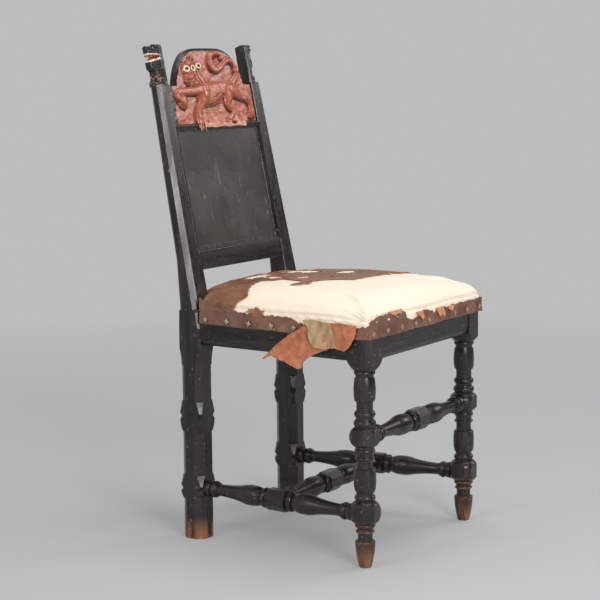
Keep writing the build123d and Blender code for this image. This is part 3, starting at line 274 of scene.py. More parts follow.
edge_wear, given, result = start_group(
    "edge_wear",
    [("Reach", "Float", 0.004), ("Patch Scale", "Float", 30.0), ("Amount", "Float", 0.5)],
    [("Mask", "Float")],
)
shade = put(
    edge_wear, "AmbientOcclusion", {"samples": 6, "inside": True, "only_local": True},
    {"Distance": given.outputs["Reach"]},
)
bare = maths(edge_wear, "SUBTRACT", 1.0, shade.outputs["AO"])
where = own_space(edge_wear)
patches = noise(edge_wear, where, given.outputs["Patch Scale"], 5.0, 0.65)
push = maths(edge_wear, "MULTIPLY_ADD", patches, 0.9, -0.62)
lift = maths(edge_wear, "ADD", push, bare)
gain = maths(edge_wear, "ADD", lift, given.outputs["Amount"])
cut = put(
    edge_wear, "MapRange", {"interpolation_type": "SMOOTHSTEP"},
    {"Value": gain, "From Min": 0.42, "From Max": 0.62},
)
edge_wear.links.new(cut.outputs[0], result.inputs["Mask"])


def worn_edges(tree, reach, patch_scale, amount):
    """Mask of the rubbed edges of the piece that wears the material."""
    return use_group(tree, edge_wear, {
        "Reach": reach, "Patch Scale": patch_scale, "Amount": amount,
    }).outputs["Mask"]


timber, given, result = start_group(
    "timber_grain",
    [("Along", "Vector", (60.0, 60.0, 5.0)), ("Depth", "Float", 1.0)],
    [("Height", "Float"), ("Tone", "Float"), ("Chips", "Float")],
)
where = own_space(timber)
stretched = put(timber, "VectorMath", {"operation": "MULTIPLY"}, {0: where, 1: given.outputs["Along"]})
fibres = noise(timber, stretched.outputs[0], 6.0, 6.0, 0.62, 0.25)
broad = noise(timber, stretched.outputs[0], 0.9, 4.0, 0.55)
chips = noise(timber, where, 150.0, 3.0, 0.6)
flecks = ramp(timber, chips, 0.66, 0.7)
deep = maths(timber, "MULTIPLY", fibres, given.outputs["Depth"])
timber.links.new(deep, result.inputs["Height"])
timber.links.new(broad, result.inputs["Tone"])
timber.links.new(flecks, result.inputs["Chips"])


def rub_towards_floor(tree, low, high):
    """Mask that rises from nothing at one height to full at another, for scuffed feet."""
    place = put(tree, "NewGeometry")
    parts = put(tree, "SeparateXYZ", None, {0: place.outputs["Position"]})
    return ramp(tree, parts.outputs["Z"], high, low)


def black_paint(
    name, along, worn=0.0, feet=0.0, reach=0.004, dark=(0.0105, 0.009, 0.009, 1), rubbed=0.5, gloss=0.2,
):
    """Thin black paint on wood whose grain runs along one axis, rubbed grey and then bare on its edges; the
    grey is partly a painted highlight.
    """
    material, tree, out = new_material(name)
    grain = use_group(tree, timber, {"Along": along, "Depth": 1.0})
    mask = worn_edges(tree, reach, 26.0, worn)
    if feet:
        low = rub_towards_floor(tree, 0.02, 0.17)
        scuffed = worn_edges(tree, 0.012, 34.0, worn + feet)
        low_mask = maths(tree, "MULTIPLY", low, scuffed)
        sole = rub_towards_floor(tree, 0.012, 0.05)
        broken = ramp(tree, grain.outputs["Tone"], 0.4, 0.5, end=0.85)
        sole = maths(tree, "MULTIPLY", sole, broken)
        low_mask = maths(tree, "MAXIMUM", low_mask, sole)
        mask = maths(tree, "MAXIMUM", mask, low_mask)
    paint = spotted(tree, dark, (0.026, 0.02, 0.0185, 1), grain.outputs["Tone"], 0.42, 0.68)
    paint = spotted(tree, paint, (0.05, 0.044, 0.042, 1), grain.outputs["Height"], 0.5, 0.75, 0.5)
    # Grey along the arrises: partly rubbed paint, partly a painted highlight; the rubbed argument sets how
    # much.
    grey_rub_and_highlight = worn_edges(tree, 0.0025, 70.0, 0.1)
    grey_rub_and_highlight = maths(tree, "MULTIPLY", grey_rub_and_highlight, rubbed)
    paint = blend_colour(tree, grey_rub_and_highlight, paint, (0.25, 0.22, 0.2, 1))
    bare = blend_colour(tree, grain.outputs["Tone"], (0.13, 0.045, 0.02, 1), (0.42, 0.17, 0.065, 1))
    colour = blend_colour(tree, mask, paint, bare)
    flecks = maths(tree, "MULTIPLY", grain.outputs["Chips"], 0.6)
    colour = blend_colour(tree, flecks, colour, (0.3, 0.26, 0.23, 1))
    rough = ramp(tree, grain.outputs["Tone"], 0.3, 0.7, gloss, gloss + 0.2)
    rough = maths(tree, "MULTIPLY_ADD", mask, 0.25, rough)
    lumps = maths(tree, "MULTIPLY_ADD", mask, -0.4, grain.outputs["Height"])
    surface(tree, out, (0.3, 0.0008, lumps), colour, rough)
    return material


UPRIGHT = (62.0, 62.0, 5.0)
CROSSWISE = (5.0, 62.0, 62.0)
FRONT_TO_BACK = (62.0, 5.0, 62.0)


def dress(node, material):
    """Give a node of the frame its finish."""
    mesh = nodes[node].data
    if len(mesh.materials) == 0:
        mesh.materials.append(material)
    for index in range(len(mesh.materials)):
        mesh.materials[index] = material


post_paint = black_paint("post_paint", UPRIGHT, worn=-0.04, feet=0.36, rubbed=0.6)
leg_paint = black_paint("leg_paint", UPRIGHT, worn=-0.02, feet=0.36, rubbed=0.45)
cross_paint = black_paint("cross_paint", CROSSWISE, worn=-0.05, rubbed=0.4)
# The side rails and side stretchers get a darker black with less grey on their edges: painted shade for the
# sides that face away from the lamps.
side_paint_shade_darkened = black_paint(
    "side_paint_shade_darkened", FRONT_TO_BACK, worn=-0.02, dark=(0.0065, 0.005, 0.0045, 1), rubbed=0.25, gloss=0.24,
)
rail_paint_shade_darkened = black_paint(
    "rail_paint_shade_darkened", FRONT_TO_BACK, worn=-0.06, dark=(0.0045, 0.0033, 0.003, 1), rubbed=0.1, gloss=0.3,
)
moulding_paint = black_paint("moulding_paint", UPRIGHT, worn=-0.5, rubbed=1.0, gloss=0.16)
for name in ("left", "right"):
    dress("front_leg_" + name, leg_paint)
    dress("back_post_" + name, post_paint)
    dress("side_rail_" + name, rail_paint_shade_darkened)
    dress("side_stretcher_" + name, side_paint_shade_darkened)
    dress("panel_moulding_" + name, moulding_paint)
for name in ("front_rail", "rear_rail", "front_stretcher", "medial_stretcher", "lower_back_rail"):
    dress(name, cross_paint)
for name in ("top", "bottom"):
    dress("panel_moulding_" + name, moulding_paint)

# ---- Pegs ----
# Riven pegs that pin the tenons, painted with the frame, their end grain a little proud.
peg_paint = black_paint("peg_paint", UPRIGHT, worn=0.06, dark=(0.03, 0.024, 0.021, 1))
dress("seat_frame_pegs", peg_paint)
dress("back_frame_pegs", peg_paint)

# ---- Back panel ----
# One thin board, stained brown-black, streaked from top to bottom and rubbed pale by backs.
panel_stain, tree, out = new_material("panel_stain")
grain = use_group(tree, timber, {"Along": (42.0, 42.0, 3.0), "Depth": 1.0})
where = own_space(tree)
cloud = noise(tree, where, 7.0, 4.0, 0.6)
rubbed = ramp(tree, cloud, 0.42, 0.66)
base = blend_colour(tree, rubbed, (0.019, 0.0165, 0.0145, 1), (0.062, 0.055, 0.05, 1))
brown = noise(tree, where, 11.0, 3.0, 0.5)
brown = ramp(tree, brown, 0.5, 0.68, end=0.6)
base = blend_colour(tree, brown, base, (0.055, 0.036, 0.028, 1))
base = spotted(tree, base, (0.1, 0.085, 0.076, 1), grain.outputs["Tone"], 0.56, 0.76, 0.35)
base = spotted(tree, base, (0.01, 0.0075, 0.0065, 1), grain.outputs["Height"], 0.55, 0.72, 0.5)
slant = put(tree, "VectorMath", {"operation": "MULTIPLY"}, {0: where, 1: (46.0, 20.0, 11.0)})
bent = noise(tree, slant.outputs[0], 2.2, 2.0, 0.5, 1.2)
scratch = ramp(tree, bent, 0.66, 0.7, end=0.5)
where_rubbed = ramp(tree, cloud, 0.46, 0.56)
scratch = maths(tree, "MULTIPLY", scratch, where_rubbed)
base = blend_colour(tree, scratch, base, (0.28, 0.24, 0.21, 1))
nicks = maths(tree, "MULTIPLY", grain.outputs["Chips"], 0.5)
base = blend_colour(tree, nicks, base, (0.3, 0.26, 0.23, 1))
rough = ramp(tree, grain.outputs["Tone"], 0.0, 1.0, 0.28, 0.46)
surface(tree, out, (0.3, 0.0008, grain.outputs["Height"]), base, rough)
dress("back_panel", panel_stain)

# ---- Crest board ----
# A pine board carved in low relief with a walking lion, its tail curled over its back.
# The ground and the lion are painted red; the arch's bevel and edge are black.
RAKE = math.radians(11.7)
BEND_Z = 460.0
SHAFT_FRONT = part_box("back_post_left")[0][1] * 1000
BOARD_RECESS = 4.5
BOARD_THICKNESS = 14.5
LEDGE_Z = 972.0
CARVING_PITCH = 0.9


def raked(across, along, behind):
    """World points in metres from millimetres across, up the raked face and behind it."""
    y = SHAFT_FRONT + along * math.sin(RAKE) + behind * math.cos(RAKE)
    z = BEND_Z + along * math.cos(RAKE) - behind * math.sin(RAKE)
    return np.stack([across + 0 * y, y, z], -1) / 1000.0


def up_face(z, behind=BOARD_RECESS):
    """Distance up the raked face of a height above the floor, at a depth behind that face."""
    return (z - BEND_Z + behind * math.sin(RAKE)) / math.cos(RAKE)


def carve(name, field, low, pitch, place, paint):
    """Turn a field, negative inside the wood, into a smooth mesh with painted areas."""
    local, quads = skin_of(field, low, pitch)
    piece, mesh = new_piece(name, place(local).tolist(), quads)
    face_outwards(mesh)
    mesh.shade_smooth()
    colours = mesh.attributes.new("areas", "FLOAT_COLOR", "POINT")
    areas = np.ones((len(local), 4))
    areas[:, :3] = paint(local)
    colours.data.foreach_set("color", areas.ravel())
    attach(piece, "root")
    return piece


def from_segment(px, py, start, end):
    """Distance to a straight segment, and the nearest point's share of the way along it."""
    (ax, ay), (bx, by) = start, end
    ex, ey = bx - ax, by - ay
    t = np.clip(((px - ax) * ex + (py - ay) * ey) / (ex * ex + ey * ey + 1e-9), 0, 1)
    return np.hypot(px - ax - t * ex, py - ay - t * ey), t


def outline_field(px, py, outline):
    """Signed distance to a closed outline, negative inside."""
    nearest = np.full(px.shape, 1e9)
    inside = np.zeros(px.shape, bool)
    for (ax, ay), (bx, by) in zip(outline, outline[1:] + outline[:1]):
        nearest = np.minimum(nearest, from_segment(px, py, (ax, ay), (bx, by))[0])
        crosses = ((ay > py) != (by > py)) & (px < (bx - ax) * (py - ay) / (by - ay + 1e-12) + ax)
        inside ^= crosses
    return np.where(inside, -nearest, nearest)


def path_distance(px, py, points):
    """Distance to a line of points, and how far along it, from 0 to the last index."""
    best = np.full(px.shape, 1e9)
    at = np.zeros(px.shape)
    for index, (start, end) in enumerate(zip(points, points[1:])):
        far, t = from_segment(px, py, start, end)
        closer = far < best
        best = np.where(closer, far, best)
        at = np.where(closer, index + t, at)
    return best, at


def bent_through(points, steps=6):
    """A smooth run of points through a few, each a tuple of the same kind of values."""
    knots = np.array(points, float)
    padded = np.vstack([2 * knots[0] - knots[1], knots, 2 * knots[-1] - knots[-2]])
    out = []
    for i in range(1, len(padded) - 2):
        a, b, c, d = padded[i - 1:i + 3]
        for t in np.arange(steps) / steps:
            straight = 2 * b + (c - a) * t + (2 * a - 5 * b + 4 * c - d) * t * t
            out.append(0.5 * (straight + (3 * b - a - 3 * c + d) * t ** 3))
    out.append(padded[-2])
    return [tuple(p) for p in out]


# Each limb: (distance across, height above the floor, half width, height of the relief).
LION = [
    [
        (-36, 951, 29, 7.0), (-8, 951, 27, 7.0), (16, 955, 24, 6.5), (34, 960, 19, 6.0), (52, 962, 17, 6.0),
        (76, 961, 19, 6.5),
    ],
    [
        (-30, 962, 17, 8.5), (-36, 946, 16, 9.0), (-52, 929, 13, 8.0), (-68, 915, 10, 7.0),
        (-75, 901, 9, 7.0), (-73, 890, 10, 8.0),
    ],
    [
        (-40, 962, 13, 7.5), (-66, 958, 11, 7.5), (-98, 957, 10, 7.0), (-124, 957, 9, 6.5),
        (-137, 950, 9, 6.0), (-134, 942, 9, 6.0),
    ],
    [(-40, 976, 22, 6.5), (-58, 988, 25, 6.5)],
    [
        (62, 956, 19, 7.5), (54, 938, 16, 7.5), (54, 924, 12, 6.5), (65, 912, 8.5, 6.0),
        (60, 902, 7.5, 6.0), (46, 896, 8, 5.5),
    ],
    [
        (74, 958, 19, 7.5), (90, 950, 14, 7.5), (108, 942, 9.5, 6.5), (126, 937, 9, 6.5),
        (139, 927, 9, 6.0), (142, 914, 9, 6.0),
    ],
    [
        (84, 974, 9, 5.5), (99, 984, 9, 6.5), (107, 998, 9, 7.5), (104, 1013, 9, 7.0), (94, 1022, 8.5, 6.5),
        (82, 1025, 8.5, 6.5), (68, 1021, 9, 7.0), (54, 1013, 9, 7.5), (40, 1006, 9, 7.5),
        (26, 1003, 9, 7.5), (14, 1007, 9, 7.5), (9, 1019, 9, 7.0), (14, 1032, 8.5, 6.5), (27, 1039, 8, 6.0),
        (43, 1041, 7, 5.5), (55, 1036, 6, 5.0), (52, 1029, 5, 4.5),
    ],
]
PAWS = [
    (-119, 936, 18, 9.0), (-131, 941, 10, 7.0), (-70, 881, 13, 9.5), (34, 892, 10, 6.5), (52, 891, 9, 5.5),
    (66, 893, 8, 5.0), (140, 903, 12, 7.5), (132, 898, 7, 6.0), (148, 900, 7, 5.5), (-74, 1004, 27, 8.0),
    (-80, 984, 19, 9.5), (-88, 1027, 9, 7.5), (-75, 1034, 9, 6.5), (-56, 1030, 8, 6.0),
    (-40, 1012, 11, 7.0), (104, 1003, 9, 9.0), (-36, 950, 12, 11.0), (-70, 902, 8, 9.0),
]
# White-ringed eyes: distance across, height, half width and half height.
EYES = [(-88, 1006, 9.0, 6.5), (-65, 1007, 8.0, 6.5), (-41, 1012, 8.5, 5.5)]
CUTS = [
    (1.9, 1.6, [(-104, 1010), (-108, 1002), (-100, 995), (-86, 993), (-72, 996)]),
    (1.6, 1.3, [(-106, 994), (-100, 985), (-88, 981), (-74, 984)]),
    (1.5, 1.3, [(-98, 976), (-88, 971), (-76, 972), (-66, 978)]),
    (1.4, 1.2, [(-84, 990), (-82, 980), (-84, 972)]),
    (1.6, 1.6, [(-54, 1000), (-50, 986), (-38, 974)]),
    (1.6, 1.5, [(-44, 1002), (-38, 990), (-24, 979)]),
    (1.4, 1.4, [(-66, 994), (-60, 982), (-50, 974)]),
    (1.4, 1.4, [(-34, 1000), (-28, 990), (-18, 982)]),
    (1.3, 1.3, [(-62, 968), (-48, 971), (-36, 970)]),
    (1.4, 1.5, [(-14, 976), (8, 977), (34, 976), (62, 975), (78, 970)]),
    (1.6, 1.6, [(-44, 926), (-20, 927), (4, 931), (24, 939), (42, 951)]),
    (1.3, 1.1, [(-14, 940), (6, 944), (24, 951)]),
    (2.0, 1.8, [(-20, 944), (-34, 926), (-50, 914), (-62, 904)]),
    (1.8, 1.6, [(-137, 938), (-131, 930), (-126, 925)]),
    (1.6, 1.3, [(-124, 931), (-119, 925)]),
    (1.8, 1.6, [(-77, 886), (-77, 875)]),
    (1.8, 1.6, [(-69, 886), (-67, 875)]),
    (1.5, 1.2, [(29, 896), (28, 887)]),
    (1.5, 1.2, [(37, 893), (38, 886)]),
    (1.6, 1.4, [(135, 903), (134, 893)]),
    (1.6, 1.4, [(143, 902), (144, 892)]),
    (1.5, 1.4, [(126, 938), (132, 930), (134, 920)]),
    (1.5, 1.4, [(138, 938), (145, 928), (146, 918)]),
    (1.4, 1.8, [(20, 1010), (18, 1022), (26, 1032)]),
    (1.3, 1.6, [(30, 1008), (52, 1016), (72, 1027), (90, 1028)]),
    (1.5, 1.8, [(-94, 1020), (-92, 1034)]),
    (1.5, 1.8, [(-66, 1024), (-64, 1038)]),
    (1.5, 1.6, [(-50, 1022), (-46, 1032)]),
]
PITS = [
    (32, 1030, 8, 3.2, 4.2), (36, 1020, 9, 4.0, 1.6), (-40, 892, 3.0, 2.5, 2.4), (90, 901, 4.0, 2.2, 2.4),
    (61, 886, 8, 2.4, 3.0), (-137, 935, 5, 4, 3.0), (-66, 873, 3, 3, 2),
]

across_axis = np.arange(-166, 166, CARVING_PITCH)
along_axis = np.arange(up_face(868), up_face(1057), CARVING_PITCH)
out_axis = np.arange(-17.5, 13, CARVING_PITCH)
cx, cs = np.meshgrid(across_axis, along_axis, indexing="ij")
cz = BEND_Z + cs * math.cos(RAKE) - BOARD_RECESS * math.sin(RAKE)

# The arch is a little fuller on the right than on the left, as it was sawn by eye.
ARCH = [
    (-134.5, 972), (-127, 990), (-114, 1011), (-98, 1029), (-80, 1042), (-54, 1050.5), (-24, 1052.3),
    (30, 1052.3), (64, 1050.8), (92, 1042), (111, 1028), (125, 1010), (133.5, 991), (138.5, 972),
]
arch_outline = [(x, up_face(z)) for x, z in [(138.5, 868), (-134.5, 868)] + bent_through(ARCH, 5)]
ends_outline = [
    (-160.3, up_face(868)), (160.3, up_face(868)), (160.3, up_face(LEDGE_Z)), (-160.3, up_face(LEDGE_Z)),
]
arch_field = outline_field(cx, cs, arch_outline)
ends_field = outline_field(cx, cs, ends_outline)
board_field = np.minimum(arch_field, ends_field)

relief = np.zeros(cx.shape)
for limb in LION:
    run = bent_through(limb)
    far, at = path_distance(cx, cz, [(p[0], p[1]) for p in run])
    widths = np.interp(at, np.arange(len(run)), [p[2] for p in run])
    tall = np.interp(at, np.arange(len(run)), [p[3] for p in run])
    relief = (relief ** 5 + (1.12 * tall * np.sqrt(np.clip(1 - (far / widths) ** 3, 0, 1))) ** 5) ** 0.2
for x, z, width, tall in PAWS:
    far = np.hypot(cx - x, cz - z)
    relief = (relief ** 5 + (tall * np.sqrt(np.clip(1 - (far / width) ** 2, 0, 1))) ** 5) ** 0.2
ground = 6.7 * np.clip((912 - cz) / 26, 0, 1) ** 0.8 * np.clip((cx + 62) / 6, 0, 1) * np.clip(
    (112 - cx) / 6, 0, 1,
)
relief = np.maximum(relief, ground)
white_paint_and_glints = np.zeros(cx.shape)
for width, depth, points in CUTS:
    far, at = path_distance(cx, cz, bent_through(points, 4) if len(points) > 2 else points)
    relief = relief - depth * np.exp(-(far / width) ** 2) * (relief > 0.5)
for x, z, wide, tall in EYES:
    far = np.hypot((cx - x) / wide, (cz - z) / tall)
    relief = relief + 1.4 * np.exp(-((far - 0.85) / 0.22) ** 2) - 2.6 * np.exp(-(far / 0.45) ** 2)
    white_paint_and_glints = np.maximum(white_paint_and_glints, np.exp(-((far - 0.85) / 0.24) ** 2))
    relief = relief - 0.8 * np.exp(-((far - 1.5) / 0.14) ** 2)
for x, z, rx, rz, deep in PITS:
    relief = relief - deep * np.exp(-((cx - x) / rx) ** 2 - ((cz - z) / rz) ** 2)
# Painted highlights: small pale glints on the shoulder, the tail, the standing foreleg and its paw, a hind
# paw, the mane and the chest.
for x, z, size in (
    (-38, 950, 5), (104, 1002, 4), (-71, 903, 5), (-76, 890, 3), (30, 900, 4), (-34, 984, 4), (-80, 972, 4),
):
    white_paint_and_glints = np.maximum(white_paint_and_glints, 0.45 * np.exp(-((cx - x) ** 2 + ((cz - z) * 0.6) ** 2) / size ** 2))
tooled = np.zeros(cx.shape)
for scale, size in ((11.0, 0.35), (4.5, 0.15)):
    phase = np.sin(cx / scale + 1.7 * np.sin(cz / scale * 0.8)) * np.cos(
        cz / scale * 1.3 + np.cos(cx / scale * 0.7)
    )
    tooled += size * phase
relief = relief + tooled
bevel = np.clip(-arch_field, 0, 7.0) * (4.0 / 7.0) - 4.0
above = cs > up_face(LEDGE_Z) - 1
relief = np.where(above, np.minimum(relief, bevel + np.clip(-arch_field - 5, 0, 50)), relief)
# Painted shade where the relief overhangs, darkest just below each edge, and a painted highlight on the
# upper sides, as light from above falls on them.
slope_down = np.gradient(relief, CARVING_PITCH, axis=1)
painted_shade_and_highlight = np.zeros(cx.shape)
for step in range(5):
    painted_shade_and_highlight = np.maximum(painted_shade_and_highlight, np.roll(np.clip(slope_down * 1.1, 0, 1), -step, axis=1) * (1 - 0.16 * step))
painted_shade_and_highlight = np.clip(0.5 + 0.5 * painted_shade_and_highlight - 0.5 * np.clip(-slope_down * 0.9, 0, 1) * (painted_shade_and_highlight < 0.2), 0, 1)
# The board's face stops at the moulding, but the carved ground runs over it in the middle.
over_moulding = np.where(np.abs(cx - 25) < 86, up_face(877.5 + 0.8 * np.sin(cx / 9)), up_face(887.5))
paw_low = outline_field(
    cx, cs, [(-86, up_face(871)), (-54, up_face(871)), (-54, up_face(890)), (-86, up_face(890))],
)
foot_field = np.minimum(over_moulding - cs, paw_low)

field = np.maximum(
    np.maximum(board_field, foot_field)[:, :, None],
    np.maximum(out_axis[None, None, :] - relief[:, :, None], -(out_axis[None, None, :] + BOARD_THICKNESS)),
)
lower_back = (cs < up_face(887.2))[:, :, None] & (out_axis[None, None, :] < 5.3)
field = np.where(lower_back, np.maximum(field, 0.6), field)
field[:, :, 0] = field[:, :, -1] = 1.0
low = (across_axis[0], along_axis[0], out_axis[0])


def sample_flat(values, local):
    """Values on the board's face under some of its points."""
    i = np.clip(((local[:, 0] - low[0]) / CARVING_PITCH).round().astype(int), 0, values.shape[0] - 1)
    j = np.clip(((local[:, 1] - low[1]) / CARVING_PITCH).round().astype(int), 0, values.shape[1] - 1)
    return values[i, j]


def crest_areas(local):
    """Where the board is black, where its eye rings and painted glints are, and where its painted shade and
    highlight lie.
    """
    rim = (sample_flat(-arch_field, local) < 7.6) & (local[:, 1] > up_face(LEDGE_Z) - 1.5)
    edge = sample_flat(-arch_field, local) < 0.9
    behind = local[:, 2] < -6.0
    margin = (local[:, 0] < -146.5 + 1.2 * np.sin(local[:, 1] / 5)) & (local[:, 2] < 2.5)
    black = (rim | behind | margin | (edge & (local[:, 1] > up_face(LEDGE_Z)))).astype(float)
    return np.stack([black, sample_flat(white_paint_and_glints, local), sample_flat(painted_shade_and_highlight, local)], -1)


crest = carve(
    "crest_carving", field, low, CARVING_PITCH,
    lambda p: raked(p[:, 0], p[:, 1], BOARD_RECESS - p[:, 2]), crest_areas,
)
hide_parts("crest_board")

# Hollow places darkened by ambient occlusion: grime in the brass nails, painted shade in the carving and in
# the folds of the torn leather, and darker creases in the linen and lining.
dirt_and_shade_group, given, result = start_group(
    "dirt_and_shade_in_hollows", [("Reach", "Float", 0.006), ("Strength", "Float", 1.6)], [("Mask", "Float")],
)
shade = put(
    dirt_and_shade_group, "AmbientOcclusion", {"samples": 6, "only_local": True}, {"Distance": given.outputs["Reach"]},
)
hidden = maths(dirt_and_shade_group, "SUBTRACT", 1.0, shade.outputs["AO"])
strong = put(
    dirt_and_shade_group, "Math", {"operation": "MULTIPLY", "use_clamp": True}, {0: hidden, 1: given.outputs["Strength"]},
)
dirt_and_shade_group.links.new(strong.outputs[0], result.inputs["Mask"])


def dirt_and_shade_mask(tree, reach, strength):
    """Mask of hollow places, darkened as grime on some pieces and as painted shade on others."""
    return use_group(tree, dirt_and_shade_group, {"Reach": reach, "Strength": strength}).outputs["Mask"]


carving_paint, tree, out = new_material("carving_paint")
areas = put(tree, "VertexColor", {"layer_name": "areas"})
split = put(tree, "SeparateColor", None, {0: areas.outputs["Color"]})
where = own_space(tree)
cloud = noise(tree, where, 24.0, 5.0, 0.65)
fine = noise(tree, where, 160.0, 4.0, 0.6)
warm = ramp(tree, cloud, 0.4, 0.62)
red = blend_colour(tree, warm, (0.36, 0.07, 0.036, 1), (0.42, 0.12, 0.045, 1))
rosy = noise(tree, where, 13.0, 3.0, 0.5)
red = spotted(tree, red, (0.4, 0.115, 0.085, 1), rosy, 0.46, 0.62, 0.4)
red = spotted(tree, red, (0.44, 0.15, 0.09, 1), fine, 0.52, 0.74, 0.25)
# Painted shade: the red turns near black in the hollows of the relief.
hollows = dirt_and_shade_mask(tree, 0.006, 2.0)
red = blend_colour(tree, hollows, red, (0.1, 0.025, 0.018, 1))
# Painted shade below the overhanging relief, and a painted highlight on its upper sides.
red = spotted(tree, red, (0.08, 0.02, 0.014, 1), split.outputs["Blue"], 0.55, 0.95, 0.85)
red = spotted(tree, red, (0.55, 0.2, 0.12, 1), split.outputs["Blue"], 0.3, 0.05, 0.22)
rubbed = worn_edges(tree, 0.004, 60.0, 0.02)
ridge = maths(tree, "MULTIPLY", rubbed, 0.6)
red = blend_colour(tree, ridge, red, (0.66, 0.36, 0.25, 1))
# Cream for the white paint of the eye rings and for the painted glints.
pale_paint_and_glints = ramp(tree, split.outputs["Green"], 0.25, 0.7)
red = blend_colour(tree, pale_paint_and_glints, red, (0.82, 0.74, 0.62, 1))
black = blend_colour(tree, ridge, (0.016, 0.012, 0.012, 1), (0.2, 0.15, 0.12, 1))
colour = blend_colour(tree, split.outputs["Red"], red, black)
rough = ramp(tree, fine, 0.3, 0.7, 0.17, 0.36)
surface(tree, out, (0.25, 0.0006, fine), colour, rough, {"Specular IOR Level": 0.6})
crest.data.materials.append(carving_paint)

# ---- Carved heads ----
# Each back post ends in a small beast's head that looks outwards with its mouth open.
# Black paint with a red mouth, white teeth, touches of old gilding on the neck and a painted glint by each
# eye.
HEAD_PITCH = 0.7
INNER_X = 160.5
SHOULDER = (975.0 - BEND_Z) / math.cos(RAKE)


def block(p, low_corner, high_corner, rounding):
    """Rounded box as a field."""
    low_corner, high_corner = np.array(low_corner, float), np.array(high_corner, float)
    away = np.abs(p - (low_corner + high_corner) / 2) - (high_corner - low_corner) / 2 + rounding
    return np.linalg.norm(np.maximum(away, 0), axis=-1) + np.minimum(away.max(-1), 0) - rounding


def ball(p, centre, radii):
    """Ellipsoid as a field."""
    radii = np.array(radii, float)
    return (np.linalg.norm((p - np.array(centre)) / radii, axis=-1) - 1) * radii.min()


def join(a, b, soft=2.0):
    """Two fields grown together over a soft seam."""
    h = np.clip(0.5 + 0.5 * (b - a) / soft, 0, 1)
    return b * (1 - h) + a * h - soft * h * (1 - h)


def take_away(a, b, soft=1.0):
    """One field cut out of another."""
    return -join(-a, b, soft)


head_axes = [np.arange(-5, 43, HEAD_PITCH), np.arange(-6, 95, HEAD_PITCH), np.arange(-4, 37.5, HEAD_PITCH)]
hp = np.stack(np.meshgrid(*head_axes, indexing="ij"), -1)
# Every point's distance outwards, up and back.
ha, hu, hd = np.moveaxis(hp, -1, 0)
DEEP = 28.4
# The cut across the outer front corner: distance outwards for each one back.
SLANT = 1.62
# Height of the mouth's middle, and how far each lip stands from it at a distance outwards.
MOUTH = 61.0
LIP, LIP_SLOPE, LIP_START = 3.9, 0.16, 16

# Seen from above the head keeps within this outline: its muzzle points out and back.
HEAD_PLAN = [
    (-1.3, 31.5), (-1.3, 5.4), (4.6, -1.0), (16.6, -1.0), (39.4, 14.0), (39.4, 23.2), (33.2, 29.4),
    (12.0, 31.5),
]
neck = block(hp, (-1.2, -2, -0.9), (25.9, 62, DEEP), 1.0)
# A bevel on the neck's outer front corner, which runs out at the shoulder.
bevel_flat = np.where(hu < 40, 11.8 + 8.6 * np.clip((16 - hu) / 7, 0, 1), 30.0)
neck = take_away(neck, -(ha - SLANT * hd - bevel_flat) / 1.9, 1.0)
foot = np.maximum(
    block(hp, (-1.2, -1.2, -0.9), (38.2, 13, DEEP), 1.0), (ha - 37.6) * 0.72 + (hu - 3.5) * 0.7,
)
foot = np.maximum(foot, (ha - 1.3 * hd - 29.6) / 1.7)
head = join(neck, foot, 3.0)
head = join(head, block(hp, (-1.2, 50, -0.9), (30, 86.6, 29.4), 5.0), 2.0)
snout = block(hp, (10, 66.0, -0.6), (38.6, 79.5, 29.0), 3.5)
jaw = block(hp, (8, 36.0, -0.6), (37.2, 56.3, 29.0), 4.0)
jaw = take_away(jaw, (ha - 30) * -0.5 + (hu - 38) * 0.86 + 4.0, 1.0)
head = join(join(head, snout, 2.5), jaw, 2.5)
within = outline_field(ha[:, 0, :], hd[:, 0, :], HEAD_PLAN)[:, None, :]
head = take_away(head, -within, 2.5)
head = join(head, ball(hp, (12.5, 75.5, 17.5), (13.6, 14.6, 15.6)), 2.0)
# Nose, brow and the valley between them.
head = join(head, ball(hp, (35.0, 79.5, 19.5), (5.2, 5.2, 6.2)), 1.5)
for nostril_d in (16.4, 22.6):
    head = take_away(head, ball(hp, (39.3, 79.0, nostril_d), (2.6, 2.0, 1.7)), 0.7)
head = take_away(head, np.maximum((49.5 - ha - SLANT * hd) / 1.9, 80.6 - hu), 2.5)
head = join(head, ball(hp, (33.0, 81.5, 21.5), (6.5, 5.6, 7.0)), 1.5)
head = take_away(head, ball(hp, (37.5, 27, 14), (9, 8.5, 30)), 2.0)
for brow_d in (6.0, 23.0):
    head = join(head, ball(hp, (20.5, 82.5, brow_d), (5.5, 4.4, 6.0)), 2.0)


def gape_at(a, u):
    """Signed distance to the open mouth, between the lips at a distance out and a height."""
    return np.abs(u - MOUTH) - (LIP + LIP_SLOPE * np.clip(a - LIP_START, 0, 30))


mouth = np.maximum(gape_at(ha, hu), 17.5 - ha)
head = take_away(head, mouth, 1.0)
head = join(head, ball(hp, (24, 57.6, 16.5), (11, 2.6, 9.0)), 1.2)
